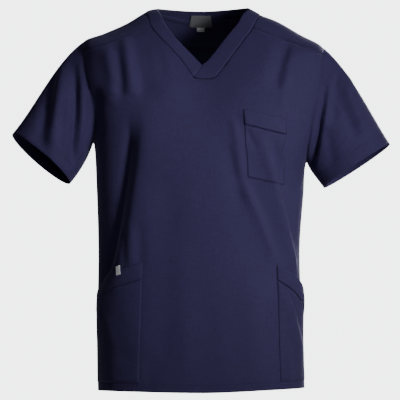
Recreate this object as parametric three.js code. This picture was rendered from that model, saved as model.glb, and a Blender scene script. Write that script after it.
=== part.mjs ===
// Short-sleeved V-neck scrub top, filled out as worn and empty inside. Sizes are in millimetres.
// +X is the photograph's right, the front faces -Y and +Z is up. The origin is the middle of the
// neck opening, level with the highest points of the shoulders, where a wearer holds it up.
// "Left" and "right" in the names mean the left and right of the photograph.
import * as THREE from "three";

// Thickness of the cloth, and the gap between two pieces at a seam
const CLOTH = 1.6;
const HEM_CLOTH = 2.6;
const BAND_CLOTH = 2.4;
const POCKET_CLOTH = 1.2;
const POCKET_BAND_CLOTH = 2.0;
const LABEL_CLOTH = 0.8;
const SEAM_GAP = 0.3;
const FOLD_EDGE = 0.8;

// Widths of the turned hems and of the neckband on the shoulder
const BODY_HEM = 17;
const SLEEVE_HEM = 25;
const NECKBAND = 28;

// Closed rings round the body, from the neck edge over the shoulders and down to the hem.
// "level" is about the distance along the cloth from the neck. Each ring has a half width to the
// left and right, a depth to the front and back, a height at each of these four places, and a
// squareness: 2 is an ellipse and larger is boxier. "axis" moves the ring's middle to the back.
const RINGS = [
  {
    level: 0, left: 84, right: 92, front: 60, back: 70, zLeft: 0,
    zRight: 1.5, zFront: -50, zBack: -4, square: 2.05, axis: 12,
  },
  {
    level: 28, left: 109, right: 116, front: 70, back: 84, zLeft: -6,
    zRight: -11, zFront: -76, zBack: -27, square: 2.1, axis: 10,
  },
  {
    level: 70, left: 148, right: 154, front: 86, back: 101, zLeft: -29,
    zRight: -26, zFront: -113, zBack: -60, square: 2.2, axis: 8,
  },
  {
    level: 115, left: 193, right: 199, front: 100, back: 115, zLeft: -49,
    zRight: -52, zFront: -150, zBack: -95, square: 2.35, axis: 5,
  },
  {
    level: 160, left: 234, right: 242, front: 111, back: 126, zLeft: -65,
    zRight: -76, zFront: -186, zBack: -132, square: 2.5, axis: 3,
  },
  {
    level: 190, left: 238, right: 247, front: 116, back: 130, zLeft: -87,
    zRight: -101, zFront: -205, zBack: -158, square: 2.55, axis: 1,
  },
  {
    level: 235, left: 242, right: 250, front: 122, back: 134, zLeft: -132,
    zRight: -150, zFront: -232, zBack: -196, square: 2.6, axis: 0,
  },
  {
    level: 300, left: 232, right: 237, front: 129, back: 137, zLeft: -202,
    zRight: -230, zFront: -268, zBack: -248, square: 2.6, axis: 0,
  },
  {
    level: 370, left: 214, right: 210, front: 132, back: 135, zLeft: -268,
    zRight: -306, zFront: -313, zBack: -306, square: 2.55, axis: 0,
  },
  {
    level: 430, left: 209, right: 205, front: 131, back: 131, zLeft: -343,
    zRight: -366, zFront: -369, zBack: -366, square: 2.5, axis: 0,
  },
  {
    level: 550, left: 205, right: 197, front: 130, back: 126, zLeft: -484,
    zRight: -484, zFront: -486, zBack: -485, square: 2.45, axis: 0,
  },
  {
    level: 690, left: 207, right: 202, front: 133, back: 130, zLeft: -624,
    zRight: -622, zFront: -626, zBack: -625, square: 2.45, axis: 0,
  },
  {
    level: 830, left: 206, right: 207, front: 138, back: 135, zLeft: -762,
    zRight: -757, zFront: -766, zBack: -763, square: 2.4, axis: 0,
  },
];
const LEVEL_RIDGE_TIP = 160;
const LEVEL_UNDERARM = 370;
const LEVEL_HEM = 830;

// Armhole seam: how far it reaches to the front and back of the shoulder's top, and how much
// wider it is in its lower half
const ARMHOLE = { front: 66, back: 74, lowBulge: 0.22 };

// Neckband, front half: stations from the point of the V up to the shoulder, inner and outer edge
const NECK_LEFT = [
  { name: "point", innerX: 3, innerZ: -113, outerX: -14, outerZ: -138 },
  { name: "low", innerX: -14, innerZ: -96, outerX: -36, outerZ: -107 },
  { name: "middle", innerX: -33, innerZ: -77, outerX: -55, outerZ: -85 },
  { name: "high", innerX: -53, innerZ: -56, outerX: -77, outerZ: -62 },
  { name: "yoke seam", innerX: -71, innerZ: -31, outerX: -97, outerZ: -40 },
  { name: "shoulder", innerX: -80, innerZ: -12, outerX: -105, outerZ: -19 },
];
const NECK_RIGHT = [
  { name: "point", innerX: 3, innerZ: -113, outerX: 28, outerZ: -138 },
  { name: "low", innerX: 19, innerZ: -97, outerX: 47, outerZ: -115 },
  { name: "middle", innerX: 36, innerZ: -76, outerX: 65, outerZ: -90 },
  { name: "high", innerX: 54, innerZ: -53, outerX: 84, outerZ: -65 },
  { name: "yoke seam", innerX: 72, innerZ: -31, outerX: 103, outerZ: -39 },
  { name: "shoulder", innerX: 83, innerZ: -12, outerX: 111, outerZ: -23 },
];
const YOKE_STATION = 4;

// Yoke: height where its front seam meets each armhole, and its straight seam across the back
const YOKE = { frontLeft: -86, frontRight: -92, backMiddle: -72, backEnd: -88 };

// Upright lines of the front panel: their x at four heights, and the cells up to the next line
const LINE_HEIGHTS = { top: -138, chest: -340, waist: -508, hem: -764 };
const FRONT_LINES = [
  { name: "left seam", cells: 5 },
  { name: "left side", top: -186, chest: -182, waist: -180, hem: -184, cells: 4 },
  { name: "left pocket", top: -118, chest: -117, waist: -116, hem: -127, cells: 5 },
  { name: "point left", top: -14, chest: -28, waist: -38, hem: -42, cells: 3 },
  { name: "point right", top: 28, chest: 28, waist: 32, hem: 34, cells: 4 },
  { name: "chest left", top: 79, chest: 93, waist: 92, hem: 96, cells: 3 },
  { name: "right pocket", top: 130, chest: 134, waist: 150, hem: 158, cells: 3 },
  { name: "chest right", top: 175, chest: 167, waist: 177, hem: 184, cells: 4 },
  { name: "right seam", cells: 0 },
];

// Crossways lines of the front panel: their height at each upright line, and the cells below
const FRONT_ROWS = [
  { name: "point of the V", z: [-138, -138, -138, -138, -138, -138, -138, -138, -138], cells: 4 },
  { name: "chest pocket opening", z: [-200, -198, -196, -194, -194, -201, -212, -221, -230], cells: 2 },
  { name: "chest band seam", z: [-231, -230, -228, -226, -226, -232, -243, -252, -261], cells: 3 },
  { name: "underarm", z: [-268, -270, -272, -276, -278, -284, -293, -300, -306], cells: 3 },
  { name: "chest pocket foot", z: [-325, -326, -328, -330, -332, -337, -346, -353, -360], cells: 10 },
  { name: "lower pocket opening", z: [-580, -528, -507, -500, -500, -502, -510, -531, -586], cells: 2 },
  { name: "lower band seam", z: [-615, -562, -539, -531, -531, -533, -542, -564, -621], cells: 8 },
];
const UNDERARM_ROW = 3;

// Long soft folds, as lines seen from the front or back. "bow" bends the middle of the line to
// the photograph's right; "left" and "right" are the widths of its two slopes; "rise" is the
// height outwards, so a groove has a negative one.
const BODY_FOLDS = [
  { side: "front", x0: -117, z0: -196, x1: -206, z1: -600, bow: 14, left: 34, right: 17, rise: -15 },
  { side: "front", x0: -96, z0: -186, x1: -160, z1: -560, bow: 14, left: 17, right: 40, rise: 5 },
  { side: "front", x0: 124, z0: -250, x1: 196, z1: -556, bow: -6, left: 16, right: 22, rise: 7 },
  { side: "front", x0: 82, z0: -330, x1: 152, z1: -520, bow: -5, left: 22, right: 18, rise: 4 },
  { side: "front", x0: -188, z0: -78, x1: -172, z1: -178, bow: 3, left: 14, right: 13, rise: 3 },
  { side: "front", x0: -166, z0: -74, x1: -152, z1: -185, bow: 3, left: 14, right: 14, rise: -4 },
  { side: "front", x0: -150, z0: -62, x1: -128, z1: -160, bow: 2, left: 15, right: 15, rise: 3 },
  { side: "front", x0: -112, z0: -60, x1: -92, z1: -178, bow: 2, left: 20, right: 26, rise: -5 },
  { side: "front", x0: 182, z0: -66, x1: 156, z1: -168, bow: -4, left: 14, right: 12, rise: -6 },
  { side: "front", x0: -214, z0: -150, x1: -208, z1: -262, bow: 2, left: 12, right: 14, rise: -6 },
  { side: "front", x0: -66, z0: -300, x1: -82, z1: -775, bow: 4, left: 34, right: 30, rise: -4 },
  { side: "front", x0: 96, z0: -520, x1: 116, z1: -790, bow: 0, left: 34, right: 30, rise: 4 },
  { side: "back", x0: -128, z0: -150, x1: -186, z1: -620, bow: 12, left: 26, right: 24, rise: -9 },
  { side: "back", x0: 120, z0: -170, x1: 180, z1: -640, bow: -12, left: 24, right: 28, rise: -10 },
  { side: "back", x0: -40, z0: -230, x1: -62, z1: -780, bow: 6, left: 34, right: 30, rise: -5 },
  { side: "back", x0: 52, z0: -260, x1: 74, z1: -780, bow: -6, left: 30, right: 34, rise: -6 },
  { side: "back", x0: 168, z0: -104, x1: 150, z1: -230, bow: -3, left: 14, right: 14, rise: -5 },
  { side: "back", x0: -176, z0: -100, x1: -156, z1: -235, bow: 3, left: 14, right: 14, rise: -5 },
];

// Sleeves: the two ends of the cuff's long axis in the front view, its front-to-back half depth,
// where its middle lies, how far its plane leans to the front, and the way the cloth leaves the
// underarm
const SLEEVES = [
  {
    name: "sleeve_left", sign: -1, topX: -380, topZ: -254, lowX: -265, lowZ: -353,
    depth: 60, y: -34, lean: 12, lift: 5, underX: -0.3,
  },
  {
    name: "sleeve_right", sign: 1, topX: 376, topZ: -268, lowX: 244, lowZ: -355,
    depth: 62, y: -14, lean: 5, lift: -3, underX: 0.3,
  },
];
const SLEEVE_ROWS = 10;
const SLEEVE_FOLDS = [
  {
    name: "sleeve_left", side: "front", x0: -232, z0: -150, x1: -236,
    z1: -330, bow: -8, left: 12, right: 10, rise: -8,
  },
  {
    name: "sleeve_left", side: "front", x0: -250, z0: -110, x1: -262,
    z1: -345, bow: -4, left: 12, right: 12, rise: -6,
  },
  {
    name: "sleeve_left", side: "front", x0: -268, z0: -120, x1: -300,
    z1: -300, bow: 6, left: 16, right: 12, rise: 4,
  },
  {
    name: "sleeve_right", side: "front", x0: 250, z0: -130, x1: 226,
    z1: -310, bow: 5, left: 10, right: 14, rise: -8,
  },
  {
    name: "sleeve_right", side: "front", x0: 276, z0: -120, x1: 250,
    z1: -330, bow: 6, left: 14, right: 16, rise: -5,
  },
  {
    name: "sleeve_right", side: "front", x0: 262, z0: -90, x1: 300,
    z1: -290, bow: -4, left: 14, right: 18, rise: 4,
  },
  {
    name: "sleeve_left", side: "back", x0: -246, z0: -120, x1: -252,
    z1: -330, bow: -6, left: 12, right: 14, rise: -7,
  },
  {
    name: "sleeve_right", side: "back", x0: 254, z0: -120, x1: 246,
    z1: -330, bow: 6, left: 14, right: 12, rise: -7,
  },
];

// Pockets: how far each stands off the front at its sewn edges and at its opening
const POCKET_SEWN = 0.3;
const CHEST_GAPE = 2.2;
const LEFT_GAPE = 5;
const RIGHT_GAPE = 11;

// Neck label, size tab and pocket tag
const LABEL = { width: 40, height: 30, drop: 9, gap: 0.5 };
const TAB = { width: 13, height: 10, side: -0.5 };
const TAG = { width: 11, height: 18, thick: 1, gap: 0.5, side: 2, above: 8 };

// Colours of the materials
const NAVY = "#2b2c4c";
const LABEL_GREY = "#55565c";
const TAB_WHITE = "#e6e6e8";
const TAG_SILVER = "#c9cbd0";

const DEGREE = Math.PI / 180;

// Small helpers
function mix(from, to, t) {
  return from + (to - from) * t;
}

function smoothStep(low, high, value) {
  const t = Math.min(Math.max((value - low) / (high - low), 0), 1);
  return t * t * (3 - 2 * t);
}

// Reads a column of a table smoothly between its rows
function readSmooth(rows, by, at, column) {
  const last = rows.length - 1;
  const value = Math.min(Math.max(at, rows[0][by]), rows[last][by]);
  let k = 0;
  while (k < last - 1 && value > rows[k + 1][by]) {
    k += 1;
  }
  const slope = (i) => {
    const low = Math.max(i - 1, 0);
    const high = Math.min(i + 1, last);
    return (rows[high][column] - rows[low][column]) / (rows[high][by] - rows[low][by]);
  };
  const span = rows[k + 1][by] - rows[k][by];
  const t = (value - rows[k][by]) / span;
  const t2 = t * t;
  const t3 = t2 * t;
  const from = rows[k][column] * (2 * t3 - 3 * t2 + 1) + slope(k) * span * (t3 - 2 * t2 + t);
  const to = rows[k + 1][column] * (3 * t2 - 2 * t3) + slope(k + 1) * span * (t3 - t2);
  return from + to;
}

// A point of the smooth body. Turn 0 is the middle of the front, a quarter turn is the
// photograph's right and half a turn is the middle of the back.
function smoothBody(turn, level) {
  const ring = {};
  for (const column of Object.keys(RINGS[0])) {
    ring[column] = readSmooth(RINGS, "level", level, column);
  }
  const sine = Math.sin(turn);
  const cosine = Math.cos(turn);
  const width = sine < 0 ? ring.left : ring.right;
  const depth = cosine > 0 ? ring.front : ring.back;
  const n = ring.square;
  const reach = (Math.abs(sine / width) ** n + Math.abs(cosine / depth) ** n) ** (-1 / n);
  const sideHeight = sine < 0 ? ring.zLeft : ring.zRight;
  const middleHeight = cosine > 0 ? ring.zFront : ring.zBack;
  const z = sideHeight * sine * sine + middleHeight * cosine * cosine;
  return new THREE.Vector3(reach * sine, ring.axis - reach * cosine, z);
}

function bodyNormal(turn, level) {
  const stepTurn = 0.004;
  const stepLevel = 1.5;
  const low = Math.max(level - stepLevel, 0);
  const high = Math.min(level + stepLevel, LEVEL_HEM);
  const along = smoothBody(turn, high).sub(smoothBody(turn, low));
  const across = smoothBody(turn + stepTurn, level).sub(smoothBody(turn - stepTurn, level));
  return along.cross(across).normalize();
}

// Height of all folds of one side at a place in the front view
function foldHeight(folds, side, x, z) {
  let height = 0;
  for (const fold of folds) {
    if (fold.side !== side) {
      continue;
    }
    const dx = fold.x1 - fold.x0;
    const dz = fold.z1 - fold.z0;
    const length = Math.hypot(dx, dz);
    const t = ((x - fold.x0) * dx + (z - fold.z0) * dz) / (length * length);
    if (t <= 0 || t >= 1) {
      continue;
    }
    const offset = ((z - fold.z0) * dx - (x - fold.x0) * dz) / length - fold.bow * 4 * t * (1 - t);
    const width = offset < 0 ? fold.left : fold.right;
    const ends = smoothStep(0, 0.25, t) * smoothStep(0, 0.25, 1 - t);
    height += fold.rise * ends * Math.exp(-((offset / width) ** 2));
  }
  return height;
}

// A point of the body's cloth with its folds. They fade out at the side seams and the neck.
function bodyPoint(turn, level) {
  const point = smoothBody(turn, level);
  const cosine = Math.cos(turn);
  const side = cosine > 0 ? "front" : "back";
  const fade = smoothStep(0, 0.3, Math.abs(cosine)) * smoothStep(30, 60, level);
  const height = fade * foldHeight(BODY_FOLDS, side, point.x, point.z);
  return point.addScaledVector(bodyNormal(turn, level), height);
}

// Outward direction of the folded cloth
function clothNormal(place) {
  const stepTurn = 0.01;
  const stepLevel = 2;
  const low = Math.max(place.level - stepLevel, 0);
  const high = Math.min(place.level + stepLevel, LEVEL_HEM);
  const along = bodyPoint(place.turn, high).sub(bodyPoint(place.turn, low));
  const before = bodyPoint(place.turn - stepTurn, place.level);
  const across = bodyPoint(place.turn + stepTurn, place.level).sub(before);
  return along.cross(across).normalize();
}

// Finds the turn and level of a place seen from the front, the back or the side
function findPlace(view, target, turnFrom, turnTo) {
  const read = (turn, level) => {
    const point = smoothBody(turn, level);
    return view === "side" ? [point.y, point.z] : [point.x, point.z];
  };
  let best = { miss: Infinity, turn: turnFrom, level: 0 };
  for (let i = 0; i <= 30; i++) {
    for (let j = 0; j <= 40; j++) {
      const turn = mix(turnFrom, turnTo, i / 30);
      const level = LEVEL_HEM * (j / 40);
      const [u, v] = read(turn, level);
      const miss = Math.hypot(u - target[0], v - target[1]);
      if (miss < best.miss) {
        best = { miss, turn, level };
      }
    }
  }
  let { turn, level } = best;
  for (let step = 0; step < 40; step++) {
    const [u, v] = read(turn, level);
    const missU = target[0] - u;
    const missV = target[1] - v;
    const [ut, vt] = read(turn + 0.001, level);
    const [ul, vl] = read(turn, level + 0.1);
    const a = (ut - u) / 0.001;
    const b = (ul - u) / 0.1;
    const c = (vt - v) / 0.001;
    const d = (vl - v) / 0.1;
    const area = a * d - b * c;
    if (Math.abs(area) < 1e-9 || Math.hypot(missU, missV) < 1e-6) {
      break;
    }
    const moveTurn = (d * missU - b * missV) / area;
    const moveLevel = (a * missV - c * missU) / area;
    turn += Math.min(Math.max(moveTurn, -0.1), 0.1);
    level = Math.min(Math.max(level + Math.min(Math.max(moveLevel, -20), 20), 0), LEVEL_HEM);
  }
  return { turn, level };
}

function onFront(x, z) {
  return findPlace("front", [x, z], -86 * DEGREE, 86 * DEGREE);
}

// Finds the level where the cloth reaches a height, going down along one turn
function levelAtHeight(turn, height) {
  let low = 0;
  let high = LEVEL_HEM;
  for (let step = 0; step < 50; step++) {
    const middle = (low + high) / 2;
    const target = typeof height === "function" ? height(smoothBody(turn, middle).x) : height;
    if (smoothBody(turn, middle).z > target) {
      low = middle;
    } else {
      high = middle;
    }
  }
  return (low + high) / 2;
}

// Side seams lie at a quarter turn. Turns of the back go on past the left one.
const SIDE_TURN = { "-1": -90 * DEGREE, 1: 90 * DEGREE };

// A place on the armhole seam. Its angle is 0 at the shoulder's top and 180 at the underarm.
function armholePlace(sign, half, angle) {
  const tip = smoothBody(SIDE_TURN[sign], LEVEL_RIDGE_TIP);
  const under = smoothBody(SIDE_TURN[sign], LEVEL_UNDERARM);
  const round = Math.sin(angle);
  const drop = (1 - Math.cos(angle)) / 2;
  if (round < 1e-6) {
    return { turn: SIDE_TURN[sign], level: angle < 1 ? LEVEL_RIDGE_TIP : LEVEL_UNDERARM };
  }
  const reach = ARMHOLE[half] * round * (1 - ARMHOLE.lowBulge * Math.cos(angle));
  const y = mix(tip.y, under.y, drop) + (half === "front" ? -reach : reach);
  const z = mix(tip.z, under.z, drop);
  const inner = half === "front" ? 40 : 140;
  return findPlace("side", [y, z], sign * inner * DEGREE, SIDE_TURN[sign]);
}

function armholeAngle(sign, z) {
  const tip = smoothBody(SIDE_TURN[sign], LEVEL_RIDGE_TIP).z;
  const under = smoothBody(SIDE_TURN[sign], LEVEL_UNDERARM).z;
  return Math.acos(1 - (2 * (z - tip)) / (under - tip));
}

// Angle on the armhole at a share of the way between two angles, part way between even steps of
// the angle and even steps of the height
function armholeStep(from, to, share) {
  const height = mix(1 - Math.cos(from), 1 - Math.cos(to), share);
  return (mix(from, to, share) + Math.acos(1 - height)) / 2;
}

function mixPlace(from, to, t) {
  return { turn: mix(from.turn, to.turn, t), level: mix(from.level, to.level, t) };
}

// A grid of places between four edges: top and bottom run along i, left and right along j. The
// bends of the left and right edges die away inwards, the faster the larger "fade" is.
function fillGrid(top, bottom, left, right, fade, downAt) {
  const columns = top.length - 1;
  const rows = left.length - 1;
  const grid = [];
  for (let j = 0; j <= rows; j++) {
    const line = [];
    const t = downAt ? downAt[j] : j / rows;
    for (let i = 0; i <= columns; i++) {
      const s = i / columns;
      const place = {};
      for (const key of ["turn", "level"]) {
        const upDown = mix(top[i][key], bottom[i][key], t);
        const bendLeft = left[j][key] - mix(top[0][key], bottom[0][key], t);
        const bendRight = right[j][key] - mix(top[columns][key], bottom[columns][key], t);
        place[key] = upDown + bendLeft * (1 - s) ** fade + bendRight * s ** fade;
      }
      line.push(place);
    }
    grid.push(line);
  }
  return grid;
}

// Flat list of triangles through shared points. Points with the same key are one point.
class Sheet {
  constructor() {
    this.points = [];
    this.places = [];
    this.faces = [];
    this.keys = new Map();
  }

  point(key, position, place) {
    if (!this.keys.has(key)) {
      this.keys.set(key, this.points.length);
      this.points.push(position.clone());
      this.places.push(place);
    }
    return this.keys.get(key);
  }

  face(a, b, c) {
    if (a !== b && b !== c && a !== c) {
      this.faces.push([a, b, c]);
    }
  }

  quad(a, b, c, d) {
    this.face(a, b, c);
    this.face(a, c, d);
  }

  // Adds a grid of points and returns its point numbers row by row
  addGrid(grid, position, name) {
    const add = (node) => this.point(name(node), position(node), node.place || node);
    const numbers = grid.map((line) => line.map(add));
    for (let j = 0; j + 1 < numbers.length; j++) {
      for (let i = 0; i + 1 < numbers[j].length; i++) {
        this.quad(numbers[j][i], numbers[j][i + 1], numbers[j + 1][i + 1], numbers[j + 1][i]);
      }
    }
    return numbers;
  }

  normals() {
    const sums = this.points.map(() => new THREE.Vector3());
    for (const [a, b, c] of this.faces) {
      const ab = this.points[b].clone().sub(this.points[a]);
      const ac = this.points[c].clone().sub(this.points[a]);
      const cross = ab.cross(ac);
      for (const k of [a, b, c]) {
        sums[k].add(cross);
      }
    }
    return sums.map((sum) => sum.normalize());
  }

  // Directions for the wall. On the body they come from the cloth's form, so that two pieces
  // that share a seam have the same ones along it.
  wallNormals() {
    if (this.places.every((place) => place && place.turn !== undefined)) {
      return this.places.map(clothNormal);
    }
    return this.normals();
  }

  // Turns the faces round if the sheet looks the wrong way at a point
  lookAlong(number, direction) {
    if (this.normals()[number].dot(direction) < 0) {
      this.faces = this.faces.map(([a, b, c]) => [a, c, b]);
    }
    return this;
  }

  // Directed edges that belong to one triangle only
  border() {
    const seen = new Map();
    for (const [a, b, c] of this.faces) {
      for (const [p, q] of [[a, b], [b, c], [c, a]]) {
        seen.set(`${p},${q}`, [p, q]);
      }
    }
    return [...seen.values()].filter(([p, q]) => !seen.has(`${q},${p}`));
  }

  // Draws every free edge in, so that two pieces with one seam line have a gap between them
  drawIn(distance) {
    const normals = this.normals();
    const inward = new Map();
    for (const [p, q] of this.border()) {
      const along = this.points[q].clone().sub(this.points[p]).normalize();
      for (const k of [p, q]) {
        const side = normals[k].clone().cross(along).normalize();
        if (!inward.has(k)) {
          inward.set(k, []);
        }
        inward.get(k).push(side);
      }
    }
    for (const [k, sides] of inward) {
      const sum = sides.reduce((total, side) => total.add(side), new THREE.Vector3());
      const share = sides.length > 1 ? Math.max(1 + sides[0].dot(sides[1]), 0.4) : 1;
      this.points[k].addScaledVector(sum, distance / share);
    }
    return this;
  }
}

// A closed wall between two distances from a sheet, measured along its normals
function wall(faces, under, over, normals, points) {
  const used = new Map();
  const order = [];
  for (const face of faces) {
    for (const k of face) {
      if (!used.has(k)) {
        used.set(k, order.length);
        order.push(k);
      }
    }
  }
  const count = order.length;
  const outer = order.map((k) => points[k].clone().addScaledVector(normals[k], over(k)));
  const inner = order.map((k) => points[k].clone().addScaledVector(normals[k], under(k)));
  const positions = [...outer, ...inner].flatMap((point) => [point.x, point.y, point.z]);
  const index = [];
  const seen = new Set();
  for (const [a, b, c] of faces.map((face) => face.map((k) => used.get(k)))) {
    index.push(a, b, c);
    index.push(count + a, count + c, count + b);
    for (const [p, q] of [[a, b], [b, c], [c, a]]) {
      seen.add(`${p},${q}`);
    }
  }
  for (const edge of seen) {
    const [p, q] = edge.split(",").map(Number);
    if (!seen.has(`${q},${p}`)) {
      index.push(q, p, count + p);
      index.push(q, count + p, count + q);
    }
  }
  const geometry = new THREE.BufferGeometry();
  geometry.setAttribute("position", new THREE.Float32BufferAttribute(positions, 3));
  geometry.setIndex(index);
  geometry.computeVertexNormals();
  return geometry;
}

// A wall of even thickness with its middle on the sheet
function evenWall(sheet, thickness) {
  const half = typeof thickness === "function" ? (k) => thickness(k) / 2 : () => thickness / 2;
  return wall(sheet.faces, (k) => -half(k), half, sheet.wallNormals(), sheet.points);
}

function placeKey(place) {
  return `${place.turn.toFixed(6)},${place.level.toFixed(5)}`;
}

function placePoint(place) {
  return bodyPoint(place.turn, place.level);
}

// Heights of the upright lines of the front, at any height
function lineX(line, z) {
  const heights = Object.keys(LINE_HEIGHTS).map((key) => ({ z: -LINE_HEIGHTS[key], x: line[key] }));
  return readSmooth(heights, "z", -z, "x");
}

// The seam at one end of a front row, at a share of the way down to the next row
function frontSeam(sign, row, share) {
  const column = sign < 0 ? 0 : FRONT_LINES.length - 1;
  const lastRow = FRONT_ROWS.length - 1;
  const z = FRONT_ROWS[row].z[column];
  if (row < UNDERARM_ROW) {
    const from = armholeAngle(sign, z);
    const next = row + 1;
    const to = next === UNDERARM_ROW ? Math.PI : armholeAngle(sign, FRONT_ROWS[next].z[column]);
    return armholePlace(sign, "front", armholeStep(from, to, share));
  }
  const turn = SIDE_TURN[sign];
  const from = row === UNDERARM_ROW ? LEVEL_UNDERARM : levelAtHeight(turn, z);
  let to = LEVEL_HEM - BODY_HEM;
  if (row < lastRow) {
    to = levelAtHeight(turn, FRONT_ROWS[row + 1].z[column]);
  }
  return { turn, level: mix(from, to, share) };
}

// One crossways line of the front, with all its places
function frontRow(row) {
  const nodes = FRONT_LINES.map((line, column) => {
    if (column === 0 || column === FRONT_LINES.length - 1) {
      return frontSeam(column === 0 ? -1 : 1, row, 0);
    }
    const z = FRONT_ROWS[row].z[column];
    return onFront(lineX(line, z), z);
  });
  return spreadRow(nodes);
}

// The same for a line at one level, near the hem
function frontRowAtLevel(level) {
  const nodes = FRONT_LINES.map((line, column) => {
    if (column === 0) {
      return { turn: SIDE_TURN[-1], level };
    }
    if (column === FRONT_LINES.length - 1) {
      return { turn: SIDE_TURN[1], level };
    }
    const place = onFront(lineX(line, LINE_HEIGHTS.hem + 5), LINE_HEIGHTS.hem + 5);
    return { turn: place.turn, level };
  });
  return spreadRow(nodes);
}

// Places between the upright lines
function spreadRow(nodes) {
  const row = [nodes[0]];
  for (let column = 0; column + 1 < nodes.length; column++) {
    const cells = FRONT_LINES[column].cells;
    for (let i = 1; i <= cells; i++) {
      row.push(mixPlace(nodes[column], nodes[column + 1], i / cells));
    }
  }
  return row;
}

// The front's main grid, from the point of the V down to the hem
function frontGrid() {
  const grid = [];
  const firstRowOf = {};
  for (let row = 0; row < FRONT_ROWS.length; row++) {
    const top = frontRow(row);
    const isLast = row === FRONT_ROWS.length - 1;
    const bottom = isLast ? frontRowAtLevel(LEVEL_HEM - BODY_HEM) : frontRow(row + 1);
    const cells = FRONT_ROWS[row].cells;
    const left = [];
    const right = [];
    for (let j = 0; j <= cells; j++) {
      left.push(frontSeam(-1, row, j / cells));
      right.push(frontSeam(1, row, j / cells));
    }
    const part = fillGrid(top, bottom, left, right, 5);
    firstRowOf[FRONT_ROWS[row].name] = grid.length;
    grid.push(...part.slice(0, cells));
    if (isLast) {
      grid.push(part[cells]);
    }
  }
  firstRowOf["hem seam"] = grid.length - 1;
  grid.push(frontRowAtLevel(LEVEL_HEM - BODY_HEM + FOLD_EDGE));
  grid.push(frontRowAtLevel(LEVEL_HEM));
  return { grid, firstRowOf };
}

// Number of the first cell at each upright line
function firstColumn(name) {
  let column = 0;
  for (const line of FRONT_LINES) {
    if (line.name === name) {
      return column;
    }
    column += line.cells;
  }
  return column;
}

const SHOULDER_ROWS = 4;
const YOKE_END_CELLS = 3;
const BACK_CELLS = 20;
const BACK_ARMHOLE_ROWS = 8;
const YOKE_BACK_TURN = 100 * DEGREE;

// Angles on the armholes where the yoke's seams end
function yokeAngle(sign, half) {
  if (half === "back") {
    return armholeAngle(sign, YOKE.backEnd);
  }
  return armholeAngle(sign, sign < 0 ? YOKE.frontLeft : YOKE.frontRight);
}

// The yoke's front seam, from the neckband to the armhole
function yokeFrontSeam(sign, cells) {
  const station = (sign < 0 ? NECK_LEFT : NECK_RIGHT)[YOKE_STATION];
  const inner = onFront(station.outerX, station.outerZ);
  const outer = armholePlace(sign, "front", yokeAngle(sign, "front"));
  const outerPoint = smoothBody(outer.turn, outer.level);
  const seam = [inner];
  for (let i = 1; i < cells; i++) {
    const t = i / cells;
    seam.push(onFront(mix(station.outerX, outerPoint.x, t), mix(station.outerZ, outerPoint.z, t)));
  }
  seam.push(outer);
  return seam;
}

// One shoulder part of the front, between the V, the armhole and the yoke
function shoulderGrid(sign, bottomRow) {
  const stations = sign < 0 ? NECK_LEFT : NECK_RIGHT;
  const cells = bottomRow.length - 1;
  const seam = yokeFrontSeam(sign, cells);
  const row0 = armholeAngle(sign, FRONT_ROWS[0].z[0]);
  const inner = [];
  const outer = [];
  for (let j = 0; j <= SHOULDER_ROWS; j++) {
    inner.push(onFront(stations[j].outerX, stations[j].outerZ));
    const angle = mix(row0, yokeAngle(sign, "front"), j / SHOULDER_ROWS);
    outer.push(armholePlace(sign, "front", angle));
  }
  inner[0] = bottomRow[0];
  return fillGrid(bottomRow, seam, inner, outer, 1);
}

// The neckband's inner or outer edge from the point of the V nearly up to the shoulder's ridge
function neckFront(sign, edge) {
  const stations = sign < 0 ? NECK_LEFT : NECK_RIGHT;
  const places = stations.map((row) => onFront(row[`${edge}X`], row[`${edge}Z`]));
  const ridge = { turn: SIDE_TURN[sign], level: edge === "inner" ? 0 : NECKBAND };
  places.push(mixPlace(places[places.length - 1], ridge, 0.5));
  return places;
}

// The neckband's seam round the back, and the yoke's edge there
function neckBack(level) {
  const places = [];
  for (const degrees of [90, 93, 96]) {
    places.push({ turn: -degrees * DEGREE, level });
  }
  for (let i = 0; i <= BACK_CELLS; i++) {
    places.push({ turn: mix(-YOKE_BACK_TURN, YOKE_BACK_TURN - 2 * Math.PI, i / BACK_CELLS), level });
  }
  for (const degrees of [264, 267, 270]) {
    places.push({ turn: -degrees * DEGREE, level });
  }
  return places;
}

function turnBack(place) {
  return place.turn > 0 ? { turn: place.turn - 2 * Math.PI, level: place.level } : place;
}

// The yoke's seam across the back, between the armholes
function yokeBackSeam() {
  const leftEnd = armholePlace(-1, "back", yokeAngle(-1, "back"));
  const rightEnd = turnBack(armholePlace(1, "back", yokeAngle(1, "back")));
  const seam = [leftEnd];
  for (let i = 1; i < BACK_CELLS; i++) {
    const turn = mix(leftEnd.turn, rightEnd.turn, i / BACK_CELLS);
    const height = (x) => mix(YOKE.backMiddle, YOKE.backEnd, Math.min(Math.abs(x) / 228, 1) ** 2);
    seam.push({ turn, level: levelAtHeight(turn, height) });
  }
  seam.push(rightEnd);
  return seam;
}

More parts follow.
